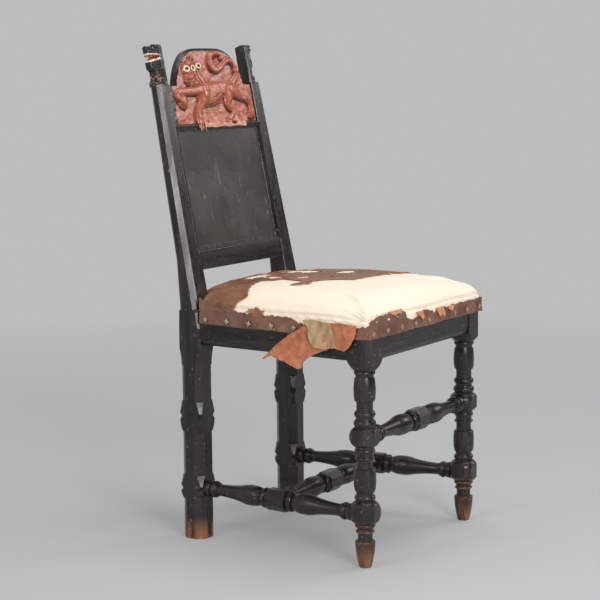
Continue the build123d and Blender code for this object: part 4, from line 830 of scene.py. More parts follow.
# Teeth stand along both lips, round the muzzle's end and along its two sides.
for a, d in [
    (37.2, 14.2), (37.4, 18.0), (37.2, 21.8), (35.5, 25.0), (31.5, 27.6), (27.0, 28.2), (22.5, 28.2),
    (33.9, 11.7), (30.6, 9.5), (27.3, 7.3), (24.0, 5.1), (20.7, 2.9), (17.6, 0.8),
]:
    rise = LIP + LIP_SLOPE * (a - LIP_START)
    head = join(head, ball(hp, (a, MOUTH + rise - 0.8, d), (1.4, 2.4, 1.4)), 0.5)
    head = join(head, ball(hp, (a - 0.6, MOUTH - rise + 0.9, d), (1.4, 1.8, 1.4)), 0.5)
for face_d, sign in ((-0.9, -1), (29.4, 1)):
    eye = (17.0, 74.0, face_d + (0.6 if sign < 0 else 0))
    head = join(head, ball(hp, eye, (4.6, 3.8, 2.0)), 1.0)
    for ring in (6.0, 9.0):
        curl = np.abs(np.hypot(ha - 16.0, (hu - 74.0) * 1.2) - ring) - 0.5
        head = take_away(head, np.maximum(curl, np.abs(hd - face_d) - 1.5), 0.6)
    for row in range(4):
        lock = np.abs(ha - 4 - row * 5.5 - 2.2 * np.sin((hu + row * 7) / 6)) - 0.6
        lock = np.maximum(lock, np.abs(hd - face_d) - 1.4)
        lock = np.maximum(lock, np.maximum(5 - hu, hu - 46 - row * 2))
        head = take_away(head, lock, 0.6)
for axis in range(3):
    edge = [slice(None)] * 3
    for end in (0, -1):
        edge[axis] = end
        head[tuple(edge)] = np.maximum(head[tuple(edge)], 1.0)


def head_areas(p):
    """Where the mouth is red, the teeth and lips cream, the neck gilt, with a painted glint by each eye."""
    a, u, d = p.T
    gape = gape_at(a, u)
    inside = np.clip(0.9 - gape, 0, 1) * (a > 15)
    bites = 0.5 + 0.5 * np.sin((a * 0.75 + d * 0.9) * 2.0)
    teeth = (gape > -1.4) & (gape < 0.9 + 1.6 * bites) & (a > 15.0)
    lips = 0.85 * ((gape > 0.5) & (gape < 3.0 + 0.8 * np.sin(a * 1.3)) & (a > 15.0) & (u < MOUTH))
    # Painted highlight: a small glint by each eye.
    glint = 0.5 * np.exp(-(np.hypot(a - 14.5, u - 71.5) / 1.6) ** 2)
    touches = np.sin(a * 0.9 + d * 0.5) * np.sin(u * 0.55) > 0.0
    gilt = np.clip(1.5 - np.abs(u - 14) / 12, 0, 1) * touches * np.clip((a + d - 20) / 8, 0, 1)
    return np.stack([inside, np.maximum(np.maximum(teeth, lips), glint), gilt], -1)


head_paint, tree, out = new_material("head_paint")
areas = put(tree, "VertexColor", {"layer_name": "areas"})
split = put(tree, "SeparateColor", None, {0: areas.outputs["Color"]})
where = own_space(tree)
fine = noise(tree, where, 170.0, 4.0, 0.65)
rubbed = worn_edges(tree, 0.003, 60.0, 0.06)
base = blend_colour(tree, rubbed, (0.013, 0.011, 0.012, 1), (0.22, 0.18, 0.17, 1))
gold = ramp(tree, fine, 0.45, 0.58)
gold = maths(tree, "MULTIPLY", gold, split.outputs["Blue"])
base = blend_colour(tree, gold, base, (0.36, 0.19, 0.07, 1))
base = blend_colour(tree, split.outputs["Red"], base, (0.36, 0.045, 0.012, 1))
# Cream paint on the teeth and lips, and the painted glint by each eye.
chalk_and_eye_glint = ramp(tree, fine, 0.34, 0.5)
chalk_and_eye_glint = maths(tree, "MULTIPLY", chalk_and_eye_glint, split.outputs["Green"])
base = blend_colour(tree, chalk_and_eye_glint, base, (0.8, 0.74, 0.63, 1))
rough = ramp(tree, fine, 0.3, 0.7, 0.2, 0.4)
surface(tree, out, (0.35, 0.0007, fine), base, rough)
for name, side in (("left", -1), ("right", 1)):
    beast = carve(
        "beast_head_" + name, head, (head_axes[0][0], head_axes[1][0], head_axes[2][0]), HEAD_PITCH,
        lambda p: raked(side * (INNER_X + p[:, 0]), SHOULDER + p[:, 1], p[:, 2]), head_areas,
    )
    beast.data.materials.append(head_paint)

# ---- Stuffed seat ----
# A firm pad of stuffing under close linen, crowned in the middle with rounded shoulders,
# cut in round the back posts and nailed down along the rails. All in millimetres.
SEAT_BOTTOM = 499.6
SEAT_PITCH = 5.0
FRONT_LEG_Y = 263.72
SEAT_TOP = 552.8
SHOULDER_OUT, SHOULDER_DROP = 36.0, 27.0
PLAN_ROUNDING = 14.0
PLAN = [(-251, -292.2), (251, -292.2), (217, 141.0), (159.2, 141.0), (159.2, 182.6),
        (-159.2, 182.6), (-159.2, 141.0), (-217, 141.0)]
SHRUNK = [
    (math.copysign(abs(x) - PLAN_ROUNDING, x), y + (PLAN_ROUNDING if y < 0 else -PLAN_ROUNDING))
    for x, y in PLAN
]


def plan_distance(x, y):
    """Distance outside the seat's outline in plan, negative inside."""
    return outline_field(x, y, SHRUNK) - PLAN_ROUNDING


def crown(x, y):
    """Height of the padded top before its shoulders round off."""
    from_back = (y + FRONT_LEG_Y - 205) / 235
    dents = 1.2 * np.sin(x / 61 + 0.8) * np.sin(y / 53 + 0.3) + 0.7 * np.sin(x / 27 - y / 33)
    return SEAT_TOP - 9 * np.abs(x / 245) ** 3 - 10 * np.abs(from_back) ** 3 + dents


seat_axes = [
    np.arange(-270, 271, SEAT_PITCH), np.arange(-310, 201, SEAT_PITCH), np.arange(485, 571, SEAT_PITCH),
]
sx, sy = np.meshgrid(seat_axes[0], seat_axes[1], indexing="ij")
plan_field = plan_distance(sx, sy)
out_part = (plan_field[:, :, None] + SHOULDER_OUT) / SHOULDER_OUT
up_part = (seat_axes[2][None, None, :] - crown(sx, sy)[:, :, None] + SHOULDER_DROP) / SHOULDER_DROP
rounded = np.hypot(np.maximum(out_part, 0), np.maximum(up_part, 0)) + np.minimum(
    np.maximum(out_part, up_part), 0,
) - 1
seat_field = np.maximum(rounded * SHOULDER_DROP, SEAT_BOTTOM - seat_axes[2][None, None, :])
seat_points, quads = skin_of(seat_field, [axis[0] for axis in seat_axes], SEAT_PITCH)
seat_points /= 1000.0
seat, mesh = new_piece("linen_seat", seat_points.tolist(), quads)
face_outwards(mesh, relax=0.5)


def vertex_array(mesh):
    """A mesh's points as rows of an array."""
    flat = np.empty(len(mesh.vertices) * 3)
    mesh.vertices.foreach_get("co", flat)
    return flat.reshape(-1, 3)


def normal_array(mesh):
    """The normals at a mesh's points."""
    flat = np.empty(len(mesh.vertices) * 3)
    mesh.vertex_normals.foreach_get("vector", flat)
    return flat.reshape(-1, 3)


def set_vertices(mesh, points):
    """Move a mesh's points."""
    mesh.vertices.foreach_set("co", np.ascontiguousarray(points).ravel())
    mesh.update()


def puff_up(piece, pinned, pressure, frames, most):
    """Inflate a form as cloth, hold what is nailed, and keep the result within a distance."""
    before = vertex_array(piece.data)
    hold = piece.vertex_groups.new(name="nailed")
    hold.add([int(i) for i in np.nonzero(pinned)[0]], 1.0, "REPLACE")
    cloth = piece.modifiers.new("cloth", "CLOTH")
    cloth.settings.quality = 5
    cloth.settings.mass = 0.3
    cloth.settings.tension_stiffness = 25
    cloth.settings.compression_stiffness = 20
    cloth.settings.shear_stiffness = 8
    cloth.settings.bending_stiffness = 1.2
    cloth.settings.use_pressure = True
    cloth.settings.uniform_pressure_force = pressure
    cloth.settings.vertex_group_mass = "nailed"
    cloth.settings.effector_weights.gravity = 0.0
    cloth.collision_settings.use_collision = False
    cloth.point_cache.frame_start, cloth.point_cache.frame_end = 1, frames
    for step in range(1, frames + 1):
        scene.frame_set(step)
    settled = piece.evaluated_get(bpy.context.evaluated_depsgraph_get())
    after = vertex_array(settled.data)
    piece.modifiers.remove(cloth)
    piece.vertex_groups.remove(hold)
    scene.frame_set(1)
    moved = after - before
    far = np.linalg.norm(moved, axis=1, keepdims=True)
    set_vertices(piece.data, before + moved * np.minimum(1, most / np.maximum(far, 1e-9)))


puff_up(seat, seat_points[:, 2] < 0.5035, 4.0, 20, 0.005)


def applied(piece, modifier):
    """Give a piece the mesh that its modifier makes."""
    fine = bpy.data.meshes.new_from_object(piece.evaluated_get(bpy.context.evaluated_depsgraph_get()))
    piece.modifiers.remove(modifier)
    piece.data = fine


def subdivide(piece, levels):
    """Apply a subdivision surface and keep the result as the piece's mesh."""
    modifier = piece.modifiers.new("subdivision", "SUBSURF")
    modifier.levels = modifier.render_levels = levels
    applied(piece, modifier)
    piece.data.shade_smooth()


subdivide(seat, 1)
points = vertex_array(seat.data) * 1000
normals = normal_array(seat.data)
px, py, pz = points.T
side_depth = np.clip((528 - pz) / 20, 0, 1) * (pz > SEAT_BOTTOM + 0.5)
draw = np.zeros(len(points))
# The linen is drawn in along a stitched line just above the nails.
draw -= 2.6 * np.exp(-((pz - 511 - 1.4 * np.sin((px + py) / 37)) / 2.4) ** 2)
draw += 1.2 * np.exp(-((pz - 517.5 - 1.5 * np.sin((px - py) / 45)) / 4.0) ** 2)
draw += 0.8 * np.exp(-((pz - 504) / 2.6) ** 2)
# Creases fan out from the two front corners, where the linen is folded and nailed.
for corner_x in (-249.0, 249.0):
    dx, dy, dz = px - corner_x, py + 291.0, pz - 497.0
    away = np.sqrt(dx * dx + dy * dy + dz * dz)
    turn = np.arctan2(dz, np.abs(dx) - np.abs(dy) + 1e-6)
    fan = np.sin(21 * turn + 1.5 * np.sin(away / 14)) * np.exp(-((away - 38) / 26) ** 2)
    draw += 1.25 * fan * np.clip(away / 22, 0, 1)
# Faint slack ripples run in from the edges.
draw += 0.55 * side_depth * np.sin(px / 5.5 + 1.6 * np.sin(pz / 6)) * (np.abs(normals[:, 1]) > 0.5)
draw += 0.55 * side_depth * np.sin(py / 5.0 + 1.9 * np.sin(pz / 7)) * (np.abs(normals[:, 0]) > 0.5)
for x0, y0, x1, y1, depth in (
    (-190, -262, -120, -205, 0.9), (60, -255, 150, -230, 0.8), (-215, -120, -150, -90, 0.7),
    (-40, -250, 10, -190, 0.7), (120, -190, 205, -170, 0.8), (-205, -20, -140, 5, 0.6),
):
    far, at = path_distance(px, py, [(x0, y0), (x1, y1)])
    draw -= depth * np.exp(-(far / 4.5) ** 2) * (pz > 530)
points += normals * draw[:, None]
# A burst hole near the front corner and a nail hole by it.
for hx, hy, hz, radius, depth in ((-247.5, -283.7, 535.0, 4.5, 4.0), (-190, -157.7, 549, 1.8, 1.5)):
    away = np.linalg.norm(points - np.array([hx, hy, hz]), axis=1)
    dip = depth * np.exp(-(away / radius) ** 2) - 0.8 * np.exp(-((away - radius * 1.5) / 2) ** 2)
    points -= normals * dip[:, None]
set_vertices(seat.data, points / 1000)

weave, given, result = start_group(
    "plain_weave", [("Threads", "Float", 900.0), ("Soften", "Float", 0.35)],
    [("Height", "Float"), ("Slubs", "Float")],
)
where = own_space(weave)
parts = put(weave, "SeparateXYZ", None, {0: where})
strands = []
for axis in "XYZ":
    scaled = maths(weave, "MULTIPLY", parts.outputs[axis], given.outputs["Threads"])
    strands.append(put(weave, "Math", {"operation": "SINE"}, {0: scaled}))
crossed = maths(weave, "ADD", strands[0].outputs[0], strands[1].outputs[0])
crossed = maths(weave, "ADD", crossed, strands[2].outputs[0])
lumpy = noise(weave, where, 220.0, 4.0, 0.6)
total = maths(weave, "MULTIPLY_ADD", crossed, given.outputs["Soften"], lumpy)
weave.links.new(total, result.inputs["Height"])
weave.links.new(lumpy, result.inputs["Slubs"])

linen, tree, out = new_material("old_linen")
where = own_space(tree)
cloth = use_group(tree, weave, {"Threads": 4200.0, "Soften": 0.3})
broad = noise(tree, where, 9.0, 4.0, 0.6)
stain = noise(tree, where, 26.0, 5.0, 0.7)
colour = blend_colour(tree, broad, (0.93, 0.80, 0.64, 1), (0.95, 0.85, 0.70, 1))
colour = spotted(tree, colour, (0.72, 0.52, 0.35, 1), stain, 0.6, 0.8, 0.35)
# Darker in its hollows and creases.
hollows = dirt_and_shade_mask(tree, 0.006, 0.9)
colour = blend_colour(tree, hollows, colour, (0.52, 0.33, 0.2, 1))
surface(
    tree, out, (0.22, 0.0004, cloth.outputs["Height"]), colour, 0.85,
    {"Sheen Weight": 0.15, "Specular IOR Level": 0.2},
)
seat.data.materials.append(linen)
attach(seat, "root")
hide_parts("seat_stuffing", "linen_cover")

# ---- Torn leather cover ----
# What is left of the thin brown leather that covered the pad: it still lies over the back,
# with a ragged edge from the left side across to the right and holes rubbed through it.
TEAR = [
    (-330, 316), (-266, 314), (-258, 312), (-250, 308), (-240, 300), (-230, 291), (-220, 285), (-206, 289),
    (-136, 314), (-108, 315), (-101, 287), (-76, 286), (-88, 241), (-80, 207), (-51, 187), (-30, 161),
    (-10, 144), (28, 147), (69, 142), (106, 124), (149, 119), (191, 118), (240, 102), (262, 96), (330, 92),
]
RUBBED = [
    (62, 325, 30, 56), (105, 232, 38, 20), (-40, 365, 48, 22), (128, 132, 32, 8), (-34, 262, 26, 12),
    (-58, 318, 18, 26), (18, 388, 26, 8), (150, 205, 10, 16), (-8, 205, 16, 8), (-20, 306, 14, 8),
]
SCRAPS = [(-125, 205, 26, 12), (-96, 214, 14, 7)]
CLOSED_TEAR = TEAR + [(330, 700), (-330, 700)]


def ragged(x, y, z, reach=2.2):
    """Small uneven bites for torn edges, in millimetres."""
    return reach * (
        np.sin(x / 6.1 + 2.1 * np.sin(y / 9.3)) * np.cos(y / 5.3 + z / 4.1)
        + 0.8 * np.sin(x / 2.7 + y / 3.1 + 1.3 * np.sin(z / 3.0))
    )


def leather_left(p):
    """Signed distance in millimetres to where leather is left, negative where it is."""
    x, y, z = p[:, 0], p[:, 1] + FRONT_LEG_Y, p[:, 2]
    unrolled = x + np.sign(x) * np.clip(545 - z, 0, 60) * (np.abs(x) > 205)
    field = outline_field(unrolled, y, CLOSED_TEAR)
    for hx, hy, rx, ry in RUBBED:
        hole = (1 - np.sqrt(((x - hx) / rx) ** 2 + ((y - hy) / ry) ** 2)) * min(rx, ry)
        field = np.maximum(field, hole + 0.8 * ragged(y, x, z, 3.4))
    for hx, hy, rx, ry in SCRAPS:
        scrap = (np.sqrt(((x - hx) / rx) ** 2 + ((y - hy) / ry) ** 2) - 1) * min(rx, ry)
        field = np.minimum(field, scrap + ragged(y, x, z, 2.6))
    side_scrap = (np.hypot((y - 252) / 22, (z - 499) / 17) - 1) * 17
    field = np.where((x < -205) & (z < 530), np.minimum(field, side_scrap), field)
    return field + ragged(x, y, z)


def keep_faces(source, name, field, lift):
    """Copy the part of a mesh where a field is negative, its torn edge drawn smooth."""
    points = vertex_array(source.data) * 1000
    normals = normal_array(source.data)
    value = field(points)
    step = 0.6  # millimetres over which the field's slope is taken
    slope = np.stack([field(points + step * np.eye(3)[i]) - value for i in range(3)], -1) / step
    size = np.linalg.norm(slope, axis=1, keepdims=True)
    loops = np.empty(len(source.data.loops), int)
    source.data.loops.foreach_get("vertex_index", loops)
    faces = loops.reshape(-1, 4)
    kept = faces[value[faces].mean(1) < 0]
    kept = kept[points[kept][:, :, 2].min(1) > SEAT_BOTTOM + 0.8]
    used, where_used = np.unique(kept, return_inverse=True)
    shift = -value[:, None] * slope / np.maximum(size, 0.4) ** 2
    shift = np.clip(shift, -1.6, 1.6)
    shift -= (shift * normals).sum(1, keepdims=True) * normals
    torn = border_points(kept, len(points)) & (points[:, 2] > SEAT_BOTTOM + 4)
    points = points + shift * torn[:, None]
    points = points + normals * lift(points, value)[:, None]
    piece, mesh = new_piece(name, (points[used] / 1000).tolist(), where_used.reshape(-1, 4).tolist())
    mesh.shade_smooth()
    near_tear = mesh.attributes.new("near_tear", "FLOAT", "POINT")
    near_tear.data.foreach_set("value", np.exp(np.minimum(value[used], 0) / 5.0))
    return piece


def thicken(piece, thickness, offset=1.0):
    """Give a sheet its thickness."""
    modifier = piece.modifiers.new("thickness", "SOLIDIFY")
    modifier.thickness = thickness
    modifier.offset = offset
    modifier.use_even_offset = False
    applied(piece, modifier)


def leather_lift(points, value):
    """How far the leather stands off the linen, most of all at its torn edges."""
    near_edge = np.exp(value / 5.0)
    x, y = points[:, 0], points[:, 1]
    curled = 1.6 * near_edge * (0.5 + 0.5 * np.sin(x / 7 + y / 5))
    return 0.5 + curled + 0.25 * np.sin(x / 4) * np.sin(y / 3.6)


cover = keep_faces(seat, "leather_cover_left", leather_left, leather_lift)
thicken(cover, 0.0013)


def leather_finish(name, dark, light, worn, gloss, flakes=0.5, torn=0.0):
    """Old brown leather: pebbled grain, dry flaking patches and paler raw edges."""
    material, tree, out = new_material(name)
    where = own_space(tree)
    pebble = put(tree, "TexVoronoi", {"feature": "DISTANCE_TO_EDGE"}, {"Vector": where, "Scale": 620.0})
    cracks = put(tree, "TexVoronoi", {"feature": "DISTANCE_TO_EDGE"}, {"Vector": where, "Scale": 95.0})
    broad = noise(tree, where, 14.0, 5.0, 0.65)
    fine = noise(tree, where, 120.0, 5.0, 0.7)
    colour = spotted(tree, dark, light, broad, 0.38, 0.64)
    colour = spotted(tree, colour, worn, fine, 0.56, 0.7, flakes)
    cracked = ramp(tree, cracks.outputs["Distance"], 0.0, 0.05, 0.5, 0.0)
    colour = blend_colour(tree, cracked, colour, (0.05, 0.03, 0.025, 1))
    raw = worn_edges(tree, 0.0016, 90.0, 0.1)
    colour = blend_colour(tree, raw, colour, (0.52, 0.2, 0.085, 1))
    if torn:
        tear = put(tree, "Attribute", {"attribute_name": "near_tear"})
        bite = maths(tree, "MULTIPLY_ADD", fine, 1.6, -0.8)
        tear = maths(tree, "ADD", tear.outputs["Fac"], bite)
        colour = spotted(tree, colour, (0.46, 0.17, 0.075, 1), tear, 0.5, 0.9, torn)
    height = maths(tree, "MULTIPLY_ADD", fine, 0.8, pebble.outputs["Distance"])
    height = maths(tree, "ADD", height, cracks.outputs["Distance"])
    rough = ramp(tree, fine, 0.3, 0.7, gloss, gloss + 0.25)
    surface(tree, out, (0.5, 0.0007, height), colour, rough, {"Specular IOR Level": 0.6})
    return material


cover_leather = leather_finish(
    "cover_leather", (0.17, 0.062, 0.03, 1), (0.27, 0.12, 0.062, 1), (0.36, 0.23, 0.16, 1), 0.3, torn=0.65,
)
cover.data.materials.append(cover_leather)
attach(cover, "root")
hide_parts("leather_cover")


def surface_area(piece):
    """Area of one side of a thin piece."""
    return sum(face.area for face in piece.data.polygons) / 2


# ---- Leather band ----
# A strip of the same leather round the bottom of the pad, in overlapping lengths held by
# nails. Its top edge is torn and curling, and its lower edge is cut straight on the rail.
BAND_OUT = 0.9
BAND_LOW = 471.0
NAIL_SPACING = 60.0
# How far a lap stands off at its nail.
LAP = 2.6


def side_out(y, side):
    """The side rails' outer face: x at a depth, for the left (-1) or right (1) side."""
    return side * (250.4 - (y + 290.7) * (250.4 - 215.4) / 432.9)


TOP_FRONT = [
    (-260, 507), (-206, 516), (-143, 516), (-104, 512), (-98, 497), (-70, 492), (-52, 494), (-30, 505),
    (-1, 503), (14, 500), (24, 494), (43, 502), (80, 499), (133, 502), (180, 500), (231, 501), (262, 503),
]
TOP_LEFT = [
    (-30, 500), (0, 494), (20, 491), (50, 492), (100, 495), (125, 491), (142, 493), (160, 501), (180, 503),
    (300, 503), (306, 506), (330, 515), (410, 526),
]
TOP_RIGHT = [(-30, 502), (40, 499), (90, 505), (140, 500), (200, 508), (300, 515), (410, 526)]
TOP_BACK = [(-160, 527), (0, 524), (160, 527)]


def band(name, start, end, outward, top_edge, along_of, slots, low=BAND_LOW):
    """One side of the band: a strip with a saw-tooth overlap at every nail."""
    start, end = np.array(start, float), np.array(end, float)
    length = np.linalg.norm(end - start)
    across = max(2, int(length / 2.2))
    rows = 16
    verts = []
    for i in range(across + 1):
        s = length * i / across
        x, y = start + (end - start) * s / length
        mark = along_of(x, y)
        top = np.interp(mark, [p[0] for p in top_edge], [p[1] for p in top_edge])
        top += 1.3 * math.sin(s / 4.1 + 2 * math.sin(s / 11)) + 0.8 * math.sin(s / 1.9)
        bottom = low + 0.8 * math.sin(s / 23) + 0.4 * math.sin(s / 5)
        for j in range(rows + 1):
            t = j / rows
            z = bottom + (top - bottom) * t
            phase = ((s + (z - bottom) * 0.85 - slots) / NAIL_SPACING) % 1.0
            lap = LAP * (1 - phase) ** 1.5 * max(0.0, 1 - t * 1.2)
            curl = 1.8 * max(0.0, t - 0.78) / 0.22 * (
                0.6 + 0.5 * math.sin(s / 9.0 + 1.3 * math.sin(s / 4.0))
            )
            out = BAND_OUT + lap + curl + 0.35 * math.sin(s / 7 + z / 5) + 0.25 * math.sin(s / 2.7 - z / 3)
            verts.append(((x + outward[0] * out) / 1000, (y + outward[1] * out) / 1000, z / 1000))
    piece, mesh = new_piece(name, verts, grid_faces(across + 1, rows + 1))
    mesh.shade_smooth()
    thicken(piece, 0.0015, 0.0)
    piece.data.materials.append(band_leather)
    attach(piece, "root")
    return piece


band_leather = leather_finish(
    "band_leather", (0.13, 0.05, 0.03, 1), (0.27, 0.13, 0.08, 1), (0.2, 0.2, 0.12, 1), 0.34, 0.45,
)
FRONT_Y = -291.0
# The linen's raw lower edge is nailed to the rails and shows where the band has sunk.
skirt_line = [
    (side_out(141, -1) - 0.5, 141), (-250.9, FRONT_Y - 0.1), (250.9, FRONT_Y - 0.1),
    (side_out(141, 1) + 0.5, 141),
]
HEM = (480, 485, 490, 495, 500, 503)
verts = []
for (ax, ay), (bx, by) in zip(skirt_line, skirt_line[1:]):
    steps = max(2, int(math.hypot(bx - ax, by - ay) / 4))
    for i in range(steps):
        t = i / steps
        x, y = ax + (bx - ax) * t, ay + (by - ay) * t
        for z in HEM:
            puff = 0.45 * math.sin(i * 1.3 + z / 3.0)
            side = Vector((by - ay, ax - bx)).normalized() * -1
            verts.append(((x - side.x * puff * 0.5) / 1000, (y - side.y * puff * 0.5) / 1000, z / 1000))
linen_edge, mesh = new_piece("linen_edge", verts, grid_faces(len(verts) // len(HEM), len(HEM)))
mesh.shade_smooth()
thicken(linen_edge, 0.0008, 0.0)
linen_edge.data.materials.append(linen)
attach(linen_edge, "root")

left_run = [(side_out(142, -1), 141.6), (side_out(-291.5, -1), -291.5)]
right_run = [(side_out(-291.5, 1), -291.5), (side_out(142, 1), 141.6)]
bands = []
for side, start, end, outward, top_edge, along_of, slots, long in (
    ("front", (-251.2, FRONT_Y), (251.2, FRONT_Y), (0, -1), TOP_FRONT, lambda x, y: x, 16.0, 0.503),
    ("left", *left_run, (-1, 0), TOP_LEFT, lambda x, y: y + FRONT_LEG_Y, 30.0, 0.435),
    ("right", *right_run, (1, 0), TOP_RIGHT, lambda x, y: y + FRONT_LEG_Y, 30.0, 0.435),
    ("back", (159.3, 181.8), (-159.3, 181.8), (0, 1), TOP_BACK, lambda x, y: x, 30.0, 0.319),
):
    piece = band("band_" + side, start, end, outward, top_edge, along_of, slots)
    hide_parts("leather_band_" + side)
    bands.append((piece, long))
for piece, long in bands:
    measured = surface_area(piece)
    wide = measured / long * 1.06


# Small curls of the torn cover stand out from the top of the front band.
def curl_of_leather(name, x, z, width, tall, roll, lean):
    """A curl as wide and tall as given, rolled outwards and leaning to one side."""
    verts = []
    across, down = 14, 10
    for i in range(across + 1):
        for j in range(down + 1):
            u, v = i / across - 0.5, j / down
            ragged_top = 1 + 0.18 * math.sin(9 * u + 3 * v + x) + 0.1 * math.sin(23 * u)
            out = 3.0 + roll * (v ** 1.6) + 2.2 * math.cos(u * math.pi) * v
            drop = -tall * v * ragged_top * (1 - 0.2 * abs(u))
            aside = x + u * width * (1 - 0.35 * v) + lean * v
            verts.append((aside / 1000, (FRONT_Y - out) / 1000, (z + drop) / 1000))
    faces = [(a, d, c, b) for a, b, c, d in grid_faces(across + 1, down + 1)]
    piece, mesh = new_piece(name, verts, faces)
    mesh.shade_smooth()
    thicken(piece, 0.0012, 0.0)
    return piece


suede, tree, out = new_material("torn_leather_inside")
where = own_space(tree)
fuzz = noise(tree, where, 300.0, 5.0, 0.75)
broad = noise(tree, where, 28.0, 4.0, 0.6)
tone = ramp(tree, broad, 0.38, 0.62)
colour = blend_colour(tree, tone, (0.3, 0.07, 0.032, 1), (0.47, 0.125, 0.058, 1))
colour = spotted(tree, colour, (0.5, 0.22, 0.13, 1), fuzz, 0.52, 0.78, 0.35)
# Painted shade in the hollows of the folds and curls.
creases = dirt_and_shade_mask(tree, 0.012, 0.9)
colour = blend_colour(tree, creases, colour, (0.16, 0.04, 0.02, 1))
raw = worn_edges(tree, 0.002, 70.0, 0.1)
colour = blend_colour(tree, raw, colour, (0.62, 0.3, 0.15, 1))
surface(tree, out, (0.4, 0.0006, fuzz), colour, 0.8, {"Specular IOR Level": 0.25, "Sheen Weight": 0.2})
for index, (x, z, width, tall, roll, lean) in enumerate(
    ((-150, 520, 60, 8, 3, 2), (-44, 505, 26, 15, 5, 6), (48, 502, 34, 18, 6, 4), (100, 500, 30, 9, 3, -3))
):
    curl = curl_of_leather("torn_curl_%d" % index, x, z, width, tall, roll, lean)
    curl.data.materials.append(suede)
    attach(curl, "root")

# ---- Nails ----
# Stamped brass nails in the shape of a four-petalled flower, dull and partly green, one
# through each lap of the band. They stand where the frame's own nails do.


def loose_parts(mesh):
    """The separate parts of a mesh, each as a list of its points."""
    shape = bmesh.new()
    shape.from_mesh(mesh)
    bmesh.ops.remove_doubles(shape, verts=shape.verts, dist=0.00002)
    shape.verts.index_update()
    parts, seen = [], set()
    for vert in shape.verts:
        if vert.index in seen:
            continue
        stack, part = [vert], []
        seen.add(vert.index)
        while stack:
            v = stack.pop()
            part.append(v.co.copy())
            for edge in v.link_edges:
                other = edge.other_vert(v)
                if other.index not in seen:
                    seen.add(other.index)
                    stack.append(other)
        parts.append(part)
    shape.free()
    return parts


verts, faces = [], []
ROUND, RINGS = 24, 6
for group in loose_parts(nodes["band_nails"].data):
    centre = sum(group, Vector()) / len(group)
    if centre.y < -0.285:
        out_way, along_way = Vector((0, -1, 0)), Vector((1, 0, 0))
    elif centre.y > 0.17:
        out_way, along_way = Vector((0, 1, 0)), Vector((-1, 0, 0))
    else:
        out_way = Vector((math.copysign(1, centre.x), 0, 0))
        along_way = Vector((0, math.copysign(1, centre.x), 0))
    base = centre + out_way * (max((point - centre).dot(out_way) for point in group) - 0.0006)
    first = len(verts)
    turn = 0.3 * math.sin(centre.x * 90 + centre.y * 70)
    for ring in range(RINGS + 1):
        r = ring / RINGS
        for step in range(ROUND):
            angle = 2 * math.pi * step / ROUND
            petal = 0.5 + 0.5 * math.cos(4 * angle)
            radius = 0.0068 * r * (0.66 + 0.34 * petal)
            rise = 0.0022 * (1 - r ** 2.2) * (0.75 + 0.25 * petal) + 0.0009 * math.exp(-(r / 0.22) ** 2)
            offset = along_way * (radius * math.cos(angle + turn)) + Vector(
                (0, 0, radius * math.sin(angle + turn))
            )
            verts.append(base + offset + out_way * rise)
    for ring in range(RINGS):
        for step in range(ROUND):
            a = first + ring * ROUND + step
            b = first + ring * ROUND + (step + 1) % ROUND
            faces.append((a, b, b + ROUND, a + ROUND))
    rim = len(verts)
    verts.append(base - out_way * 0.001)
    for step in range(ROUND):
        faces.append((first + RINGS * ROUND + step, first + RINGS * ROUND + (step + 1) % ROUND, rim))
flower_nails, mesh = new_piece("flower_nails", verts, faces)
face_outwards(mesh, weld=0.00001)
mesh.shade_smooth()
brass, tree, out = new_material("dull_brass")
where = own_space(tree)
patina = noise(tree, where, 60.0, 5.0, 0.7)
fine = noise(tree, where, 700.0, 3.0, 0.6)
green = ramp(tree, patina, 0.48, 0.62)
colour = blend_colour(tree, green, (0.4, 0.25, 0.17, 1), (0.27, 0.3, 0.19, 1))
colour = spotted(tree, colour, (0.52, 0.41, 0.32, 1), fine, 0.4, 0.65)
hollows = dirt_and_shade_mask(tree, 0.002, 1.2)
colour = blend_colour(tree, hollows, colour, (0.1, 0.07, 0.045, 1))
metal = ramp(tree, patina, 0.4, 0.6, 0.75, 0.3)
surface(tree, out, (0.3, 0.0003, fine), colour, 0.48, {"Metallic": metal})
flower_nails.data.materials.append(brass)
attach(flower_nails, "root")
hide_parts("band_nails")

# ---- Hanging tatters ----
# Two tongues of the torn cover hang outside the left rail with their rough inside showing,
# and between them hangs a scrap of coarse lining. Edges curl and corners turn outwards.


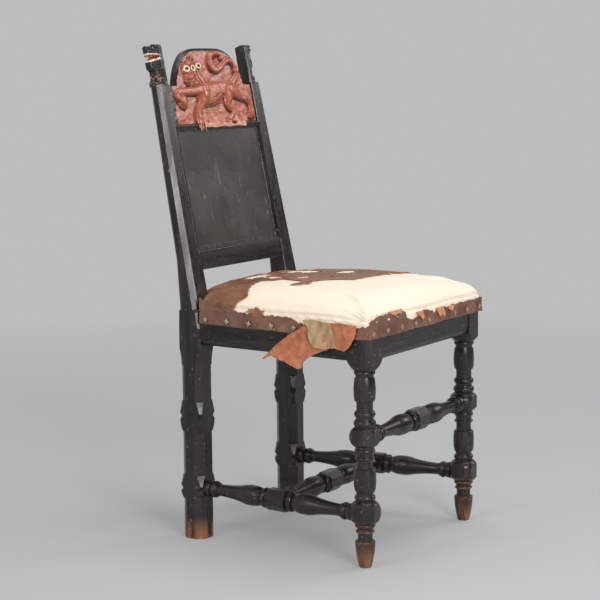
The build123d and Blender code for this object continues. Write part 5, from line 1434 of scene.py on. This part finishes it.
def tatter(name, outline, pitch, lean, bend):
    """A hanging scrap cut to an outline of depth and height, bent out from the rail."""
    ys = np.arange(min(p[0] for p in outline) - pitch, max(p[0] for p in outline) + 2 * pitch, pitch)
    zs = np.arange(min(p[1] for p in outline) - pitch, max(p[1] for p in outline) + 2 * pitch, pitch)
    gy, gz = np.meshgrid(ys, zs, indexing="ij")
    centre = outline_field(gy[:-1, :-1] + pitch / 2, gz[:-1, :-1] + pitch / 2, outline)
    keep = np.argwhere(centre < 0)
    index = {}
    faces = []
    for i, j in keep:
        face = []
        for a, b in ((i, j), (i + 1, j), (i + 1, j + 1), (i, j + 1)):
            face.append(index.setdefault((a, b), len(index)))
        faces.append(face)
    places = np.array([(ys[a], zs[b]) for a, b in index])
    segments = list(zip(outline, outline[1:] + outline[:1]))
    for k in np.nonzero(border_points(faces, len(places)))[0]:
        best, target = 1e9, places[k]
        for (ay, az), (by, bz) in segments:
            ey, ez = by - ay, bz - az
            t = min(1, max(0, ((places[k][0] - ay) * ey + (places[k][1] - az) * ez) / (ey * ey + ez * ez)))
            spot = np.array([ay + t * ey, az + t * ez])
            far = np.hypot(*(places[k] - spot))
            if far < best:
                best, target = far, spot
        places[k] = target
    y, z = places[:, 0], places[:, 1]
    deep = -outline_field(y, z, outline)
    hang = np.clip(505 - z, 0, 200)
    out_x = lean(y, z, hang) + bend(y, z, hang, deep)
    x = side_out(y - FRONT_LEG_Y, -1) - out_x
    piece, mesh = new_piece(name, (np.stack([x, y - FRONT_LEG_Y, z], -1) / 1000).tolist(), faces)
    mesh.shade_smooth()
    return piece


def ragged_outline(corners, step=3.0, bite=0.7):
    """Corners joined by slightly uneven torn edges."""
    out = []
    for k, ((ay, az), (by, bz)) in enumerate(zip(corners, corners[1:] + corners[:1])):
        length = math.hypot(by - ay, bz - az)
        n = max(1, int(length / step))
        for i in range(n):
            t = i / n
            wobble = bite * math.sin(4.3 * i + 1.7 * k) * (0 < i)
            y = ay + (by - ay) * t + wobble * (bz - az) / length
            out.append((y, az + (bz - az) * t - wobble * (by - ay) / length))
    return out


BIG_TATTER = [
    (121, 501), (128, 489), (145, 478), (164, 467), (186, 450), (206, 433), (216, 423), (228, 413),
    (222, 415), (206, 424), (190, 418), (170, 412), (150, 404), (139, 400), (129, 404), (125, 418),
    (106, 431), (80, 442), (64, 447), (68, 462), (90, 490), (100, 502),
]
LINING = [
    (127, 503), (100, 504), (84, 502), (60, 500), (52, 478), (43, 452), (62, 449), (80, 447), (98, 449),
    (108, 455), (113, 470), (116, 486),
]
SMALL_TATTER = [
    (66, 500), (34, 501), (0, 499), (2, 480), (6, 470), (14, 455), (27, 446), (46, 448), (58, 462),
    (62, 480),
]


def big_lean(y, z, hang):
    """How far the big tongue leans out as it hangs."""
    return 5.4 + hang * 0.10 + 3.0 * np.clip((y - 130) / 90, 0, 1) ** 2 * np.clip(hang / 60, 0, 1)


def big_bend(y, z, hang, deep):
    """The big tongue's rolled edge and its waves."""
    ridge, at = path_distance(y, z, [(126, 492), (164, 468), (206, 434), (226, 415)])
    rolled = 5.0 * np.exp(-(ridge / 5.0) ** 2)
    wave = 2.5 * np.sin((y - 70) / 17 + (z - 400) / 30) * np.clip(hang / 50, 0, 1)
    return rolled + wave + 3.0 * np.exp(-deep / 4.0) * np.clip(hang / 60, 0, 1) * np.sin(y / 11) ** 2


def small_bend(y, z, hang, deep):
    """The small tongue's wave and its curling front edge."""
    wave = 1.8 * np.sin(y / 9) * np.clip(hang / 40, 0, 1)
    return wave + 3.5 * np.exp(-deep / 4.0) * (y > 45) * np.clip(hang / 25, 0, 1)


def lining_bend(y, z, hang, deep):
    """The lining's creases."""
    return 1.5 * np.sin(y / 3.6 + z / 9) + 1.8 * np.sin(y / 8 - z / 13) + 2.2 * np.exp(-deep / 3.0)


big = tatter("torn_tongue_big", ragged_outline(BIG_TATTER), 3.0, big_lean, big_bend)
small = tatter(
    "torn_tongue_small", ragged_outline(SMALL_TATTER), 3.0,
    lambda y, z, hang: 5.2 + np.clip(hang, 0, 18) * 0.1 + hang * 0.07,
    small_bend,
)
lining = tatter(
    "torn_lining", ragged_outline(LINING), 2.4,
    lambda y, z, hang: 8.0 + hang * 0.11,
    lining_bend,
)
for piece in (big, small, lining):
    subdivide(piece, 1)
    thicken(piece, 0.0014 if piece is not lining else 0.0009, 0.0)
for piece in (big, small):
    piece.data.materials.append(suede)
    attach(piece, "root")
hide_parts("torn_leather_flaps")
lining_cloth, tree, out = new_material("coarse_lining")
where = own_space(tree)
cloth = use_group(tree, weave, {"Threads": 3000.0, "Soften": 0.5})
broad = noise(tree, where, 40.0, 4.0, 0.6)
colour = blend_colour(tree, broad, (0.36, 0.22, 0.11, 1), (0.6, 0.44, 0.25, 1))
# Darker in its hollows and creases.
hollows = dirt_and_shade_mask(tree, 0.006, 1.3)
colour = blend_colour(tree, hollows, colour, (0.13, 0.09, 0.06, 1))
surface(tree, out, (0.5, 0.0006, cloth.outputs["Height"]), colour, 0.9, {"Specular IOR Level": 0.2})
lining.data.materials.append(lining_cloth)
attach(lining, "root")
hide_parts("torn_lining_flap")

# ---- Under the seat ----
# Girth webs crossed and tacked over the rails, and a coarse cloth on them that carries the
# stuffing. They show only from below.
web_cloth, tree, out = new_material("girth_webbing")
where = own_space(tree)
cloth = use_group(tree, weave, {"Threads": 2200.0, "Soften": 0.6})
broad = noise(tree, where, 30.0, 4.0, 0.6)
colour = blend_colour(tree, broad, (0.25, 0.17, 0.095, 1), (0.42, 0.31, 0.18, 1))
colour = spotted(tree, colour, (0.12, 0.08, 0.045, 1), cloth.outputs["Slubs"], 0.4, 0.7, 0.5)
surface(tree, out, (0.6, 0.0008, cloth.outputs["Height"]), colour, 0.9, {"Specular IOR Level": 0.2})


def sunk(x, y):
    """How far use has sunk the seat's bottom between its rails, in millimetres."""
    return 5.0 * (1 - np.clip((x / 232) ** 2, 0, 1)) * (1 - np.clip(((y + 60) / 228) ** 2, 0, 1))


def limp_grid(verts, faces, x_line, y_line, height, narrowing=0.0):
    """Add a grid of points over two lines of places, at heights given in millimetres.

    The grid may narrow towards the back by a share of its width for each millimetre."""
    first = len(verts)
    gx, gy = np.meshgrid(x_line, y_line, indexing="ij")
    gx = gx * (1 - narrowing * (gy - y_line[0]))
    verts.extend((np.stack([gx, gy, height(gx, gy)], -1).reshape(-1, 3) / 1000).tolist())
    faces.extend(grid_faces(len(x_line), len(y_line), first))


def cloth_piece(name, verts, faces, thickness, finish, stands_for):
    """A thin cloth in the place of a node."""
    piece, mesh = new_piece(name, verts, faces)
    mesh.shade_smooth()
    thicken(piece, thickness, 0.0)
    piece.data.materials.append(finish)
    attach(piece, "root")
    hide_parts(stands_for)
    return piece


web_spans = []
for node in ("webs_front_to_back", "webs_side_to_side"):
    verts, faces = [], []
    for part in loose_parts(nodes[node].data):
        corners = np.array(part) * 1000
        (x0, y0, z0), (x1, y1, z1) = corners.min(0), corners.max(0)
        web_spans.append((x0, x1, y0, y1))
        long_y = y1 - y0 > x1 - x0
        nx, ny = (11, 93) if long_y else (93, 11)
        middle = (z0 + z1) / 2

        def web_height(x, y):
            share = (x - (x0 + x1) / 2) / (x1 - x0) if long_y else (y - (y0 + y1) / 2) / (y1 - y0)
            return middle - sunk(x, y) - 0.25 * np.abs(2 * share) ** 6

        limp_grid(verts, faces, np.linspace(x0, x1, nx), np.linspace(y0, y1, ny), web_height)
    cloth_piece(node.replace("webs", "girths"), verts, faces, 0.0015, web_cloth, node)
base_weave, tree, out = new_material("sacking")
where = own_space(tree)
cloth = use_group(tree, weave, {"Threads": 1700.0, "Soften": 0.6})
broad = noise(tree, where, 18.0, 5.0, 0.65)
colour = blend_colour(tree, broad, (0.3, 0.21, 0.12, 1), (0.5, 0.38, 0.24, 1))
surface(tree, out, (0.7, 0.0008, cloth.outputs["Height"]), colour, 0.95, {"Specular IOR Level": 0.15})
(x0, y0, z0), (x1, y1, z1) = [[1000 * value for value in corner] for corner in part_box("base_cloth")]


def sacking_height(x, y):
    """The cloth lies on the webs and bellies a little between them."""
    open_by = np.full(x.shape, 30.0)
    for left, right, front, back in web_spans:
        beyond = np.maximum(np.maximum(left - x, x - right), np.maximum(front - y, y - back))
        open_by = np.minimum(open_by, np.maximum(beyond, 0))
    return (z0 + z1) / 2 - sunk(x, y) - 1.6 * (1 - np.exp(-(open_by / 9) ** 2)) * (sunk(x, y) > 0.3)


verts, faces = [], []
narrowing = (1 - side_out(y1, 1) / side_out(y0, 1)) / (y1 - y0)
limp_grid(verts, faces, np.linspace(x0, x1, 95), np.linspace(y0, y1, 95), sacking_height, narrowing)
sacking = cloth_piece("sacking", verts, faces, 0.0008, base_weave, "base_cloth")
iron, tree, out = new_material("forged_tacks")
where = own_space(tree)
rust = noise(tree, where, 200.0, 4.0, 0.7)
colour = blend_colour(tree, rust, (0.06, 0.05, 0.045, 1), (0.2, 0.09, 0.045, 1))
surface(tree, out, (0.4, 0.0003, rust), colour, 0.6, {"Metallic": 0.6})
dress("webbing_tacks", iron)
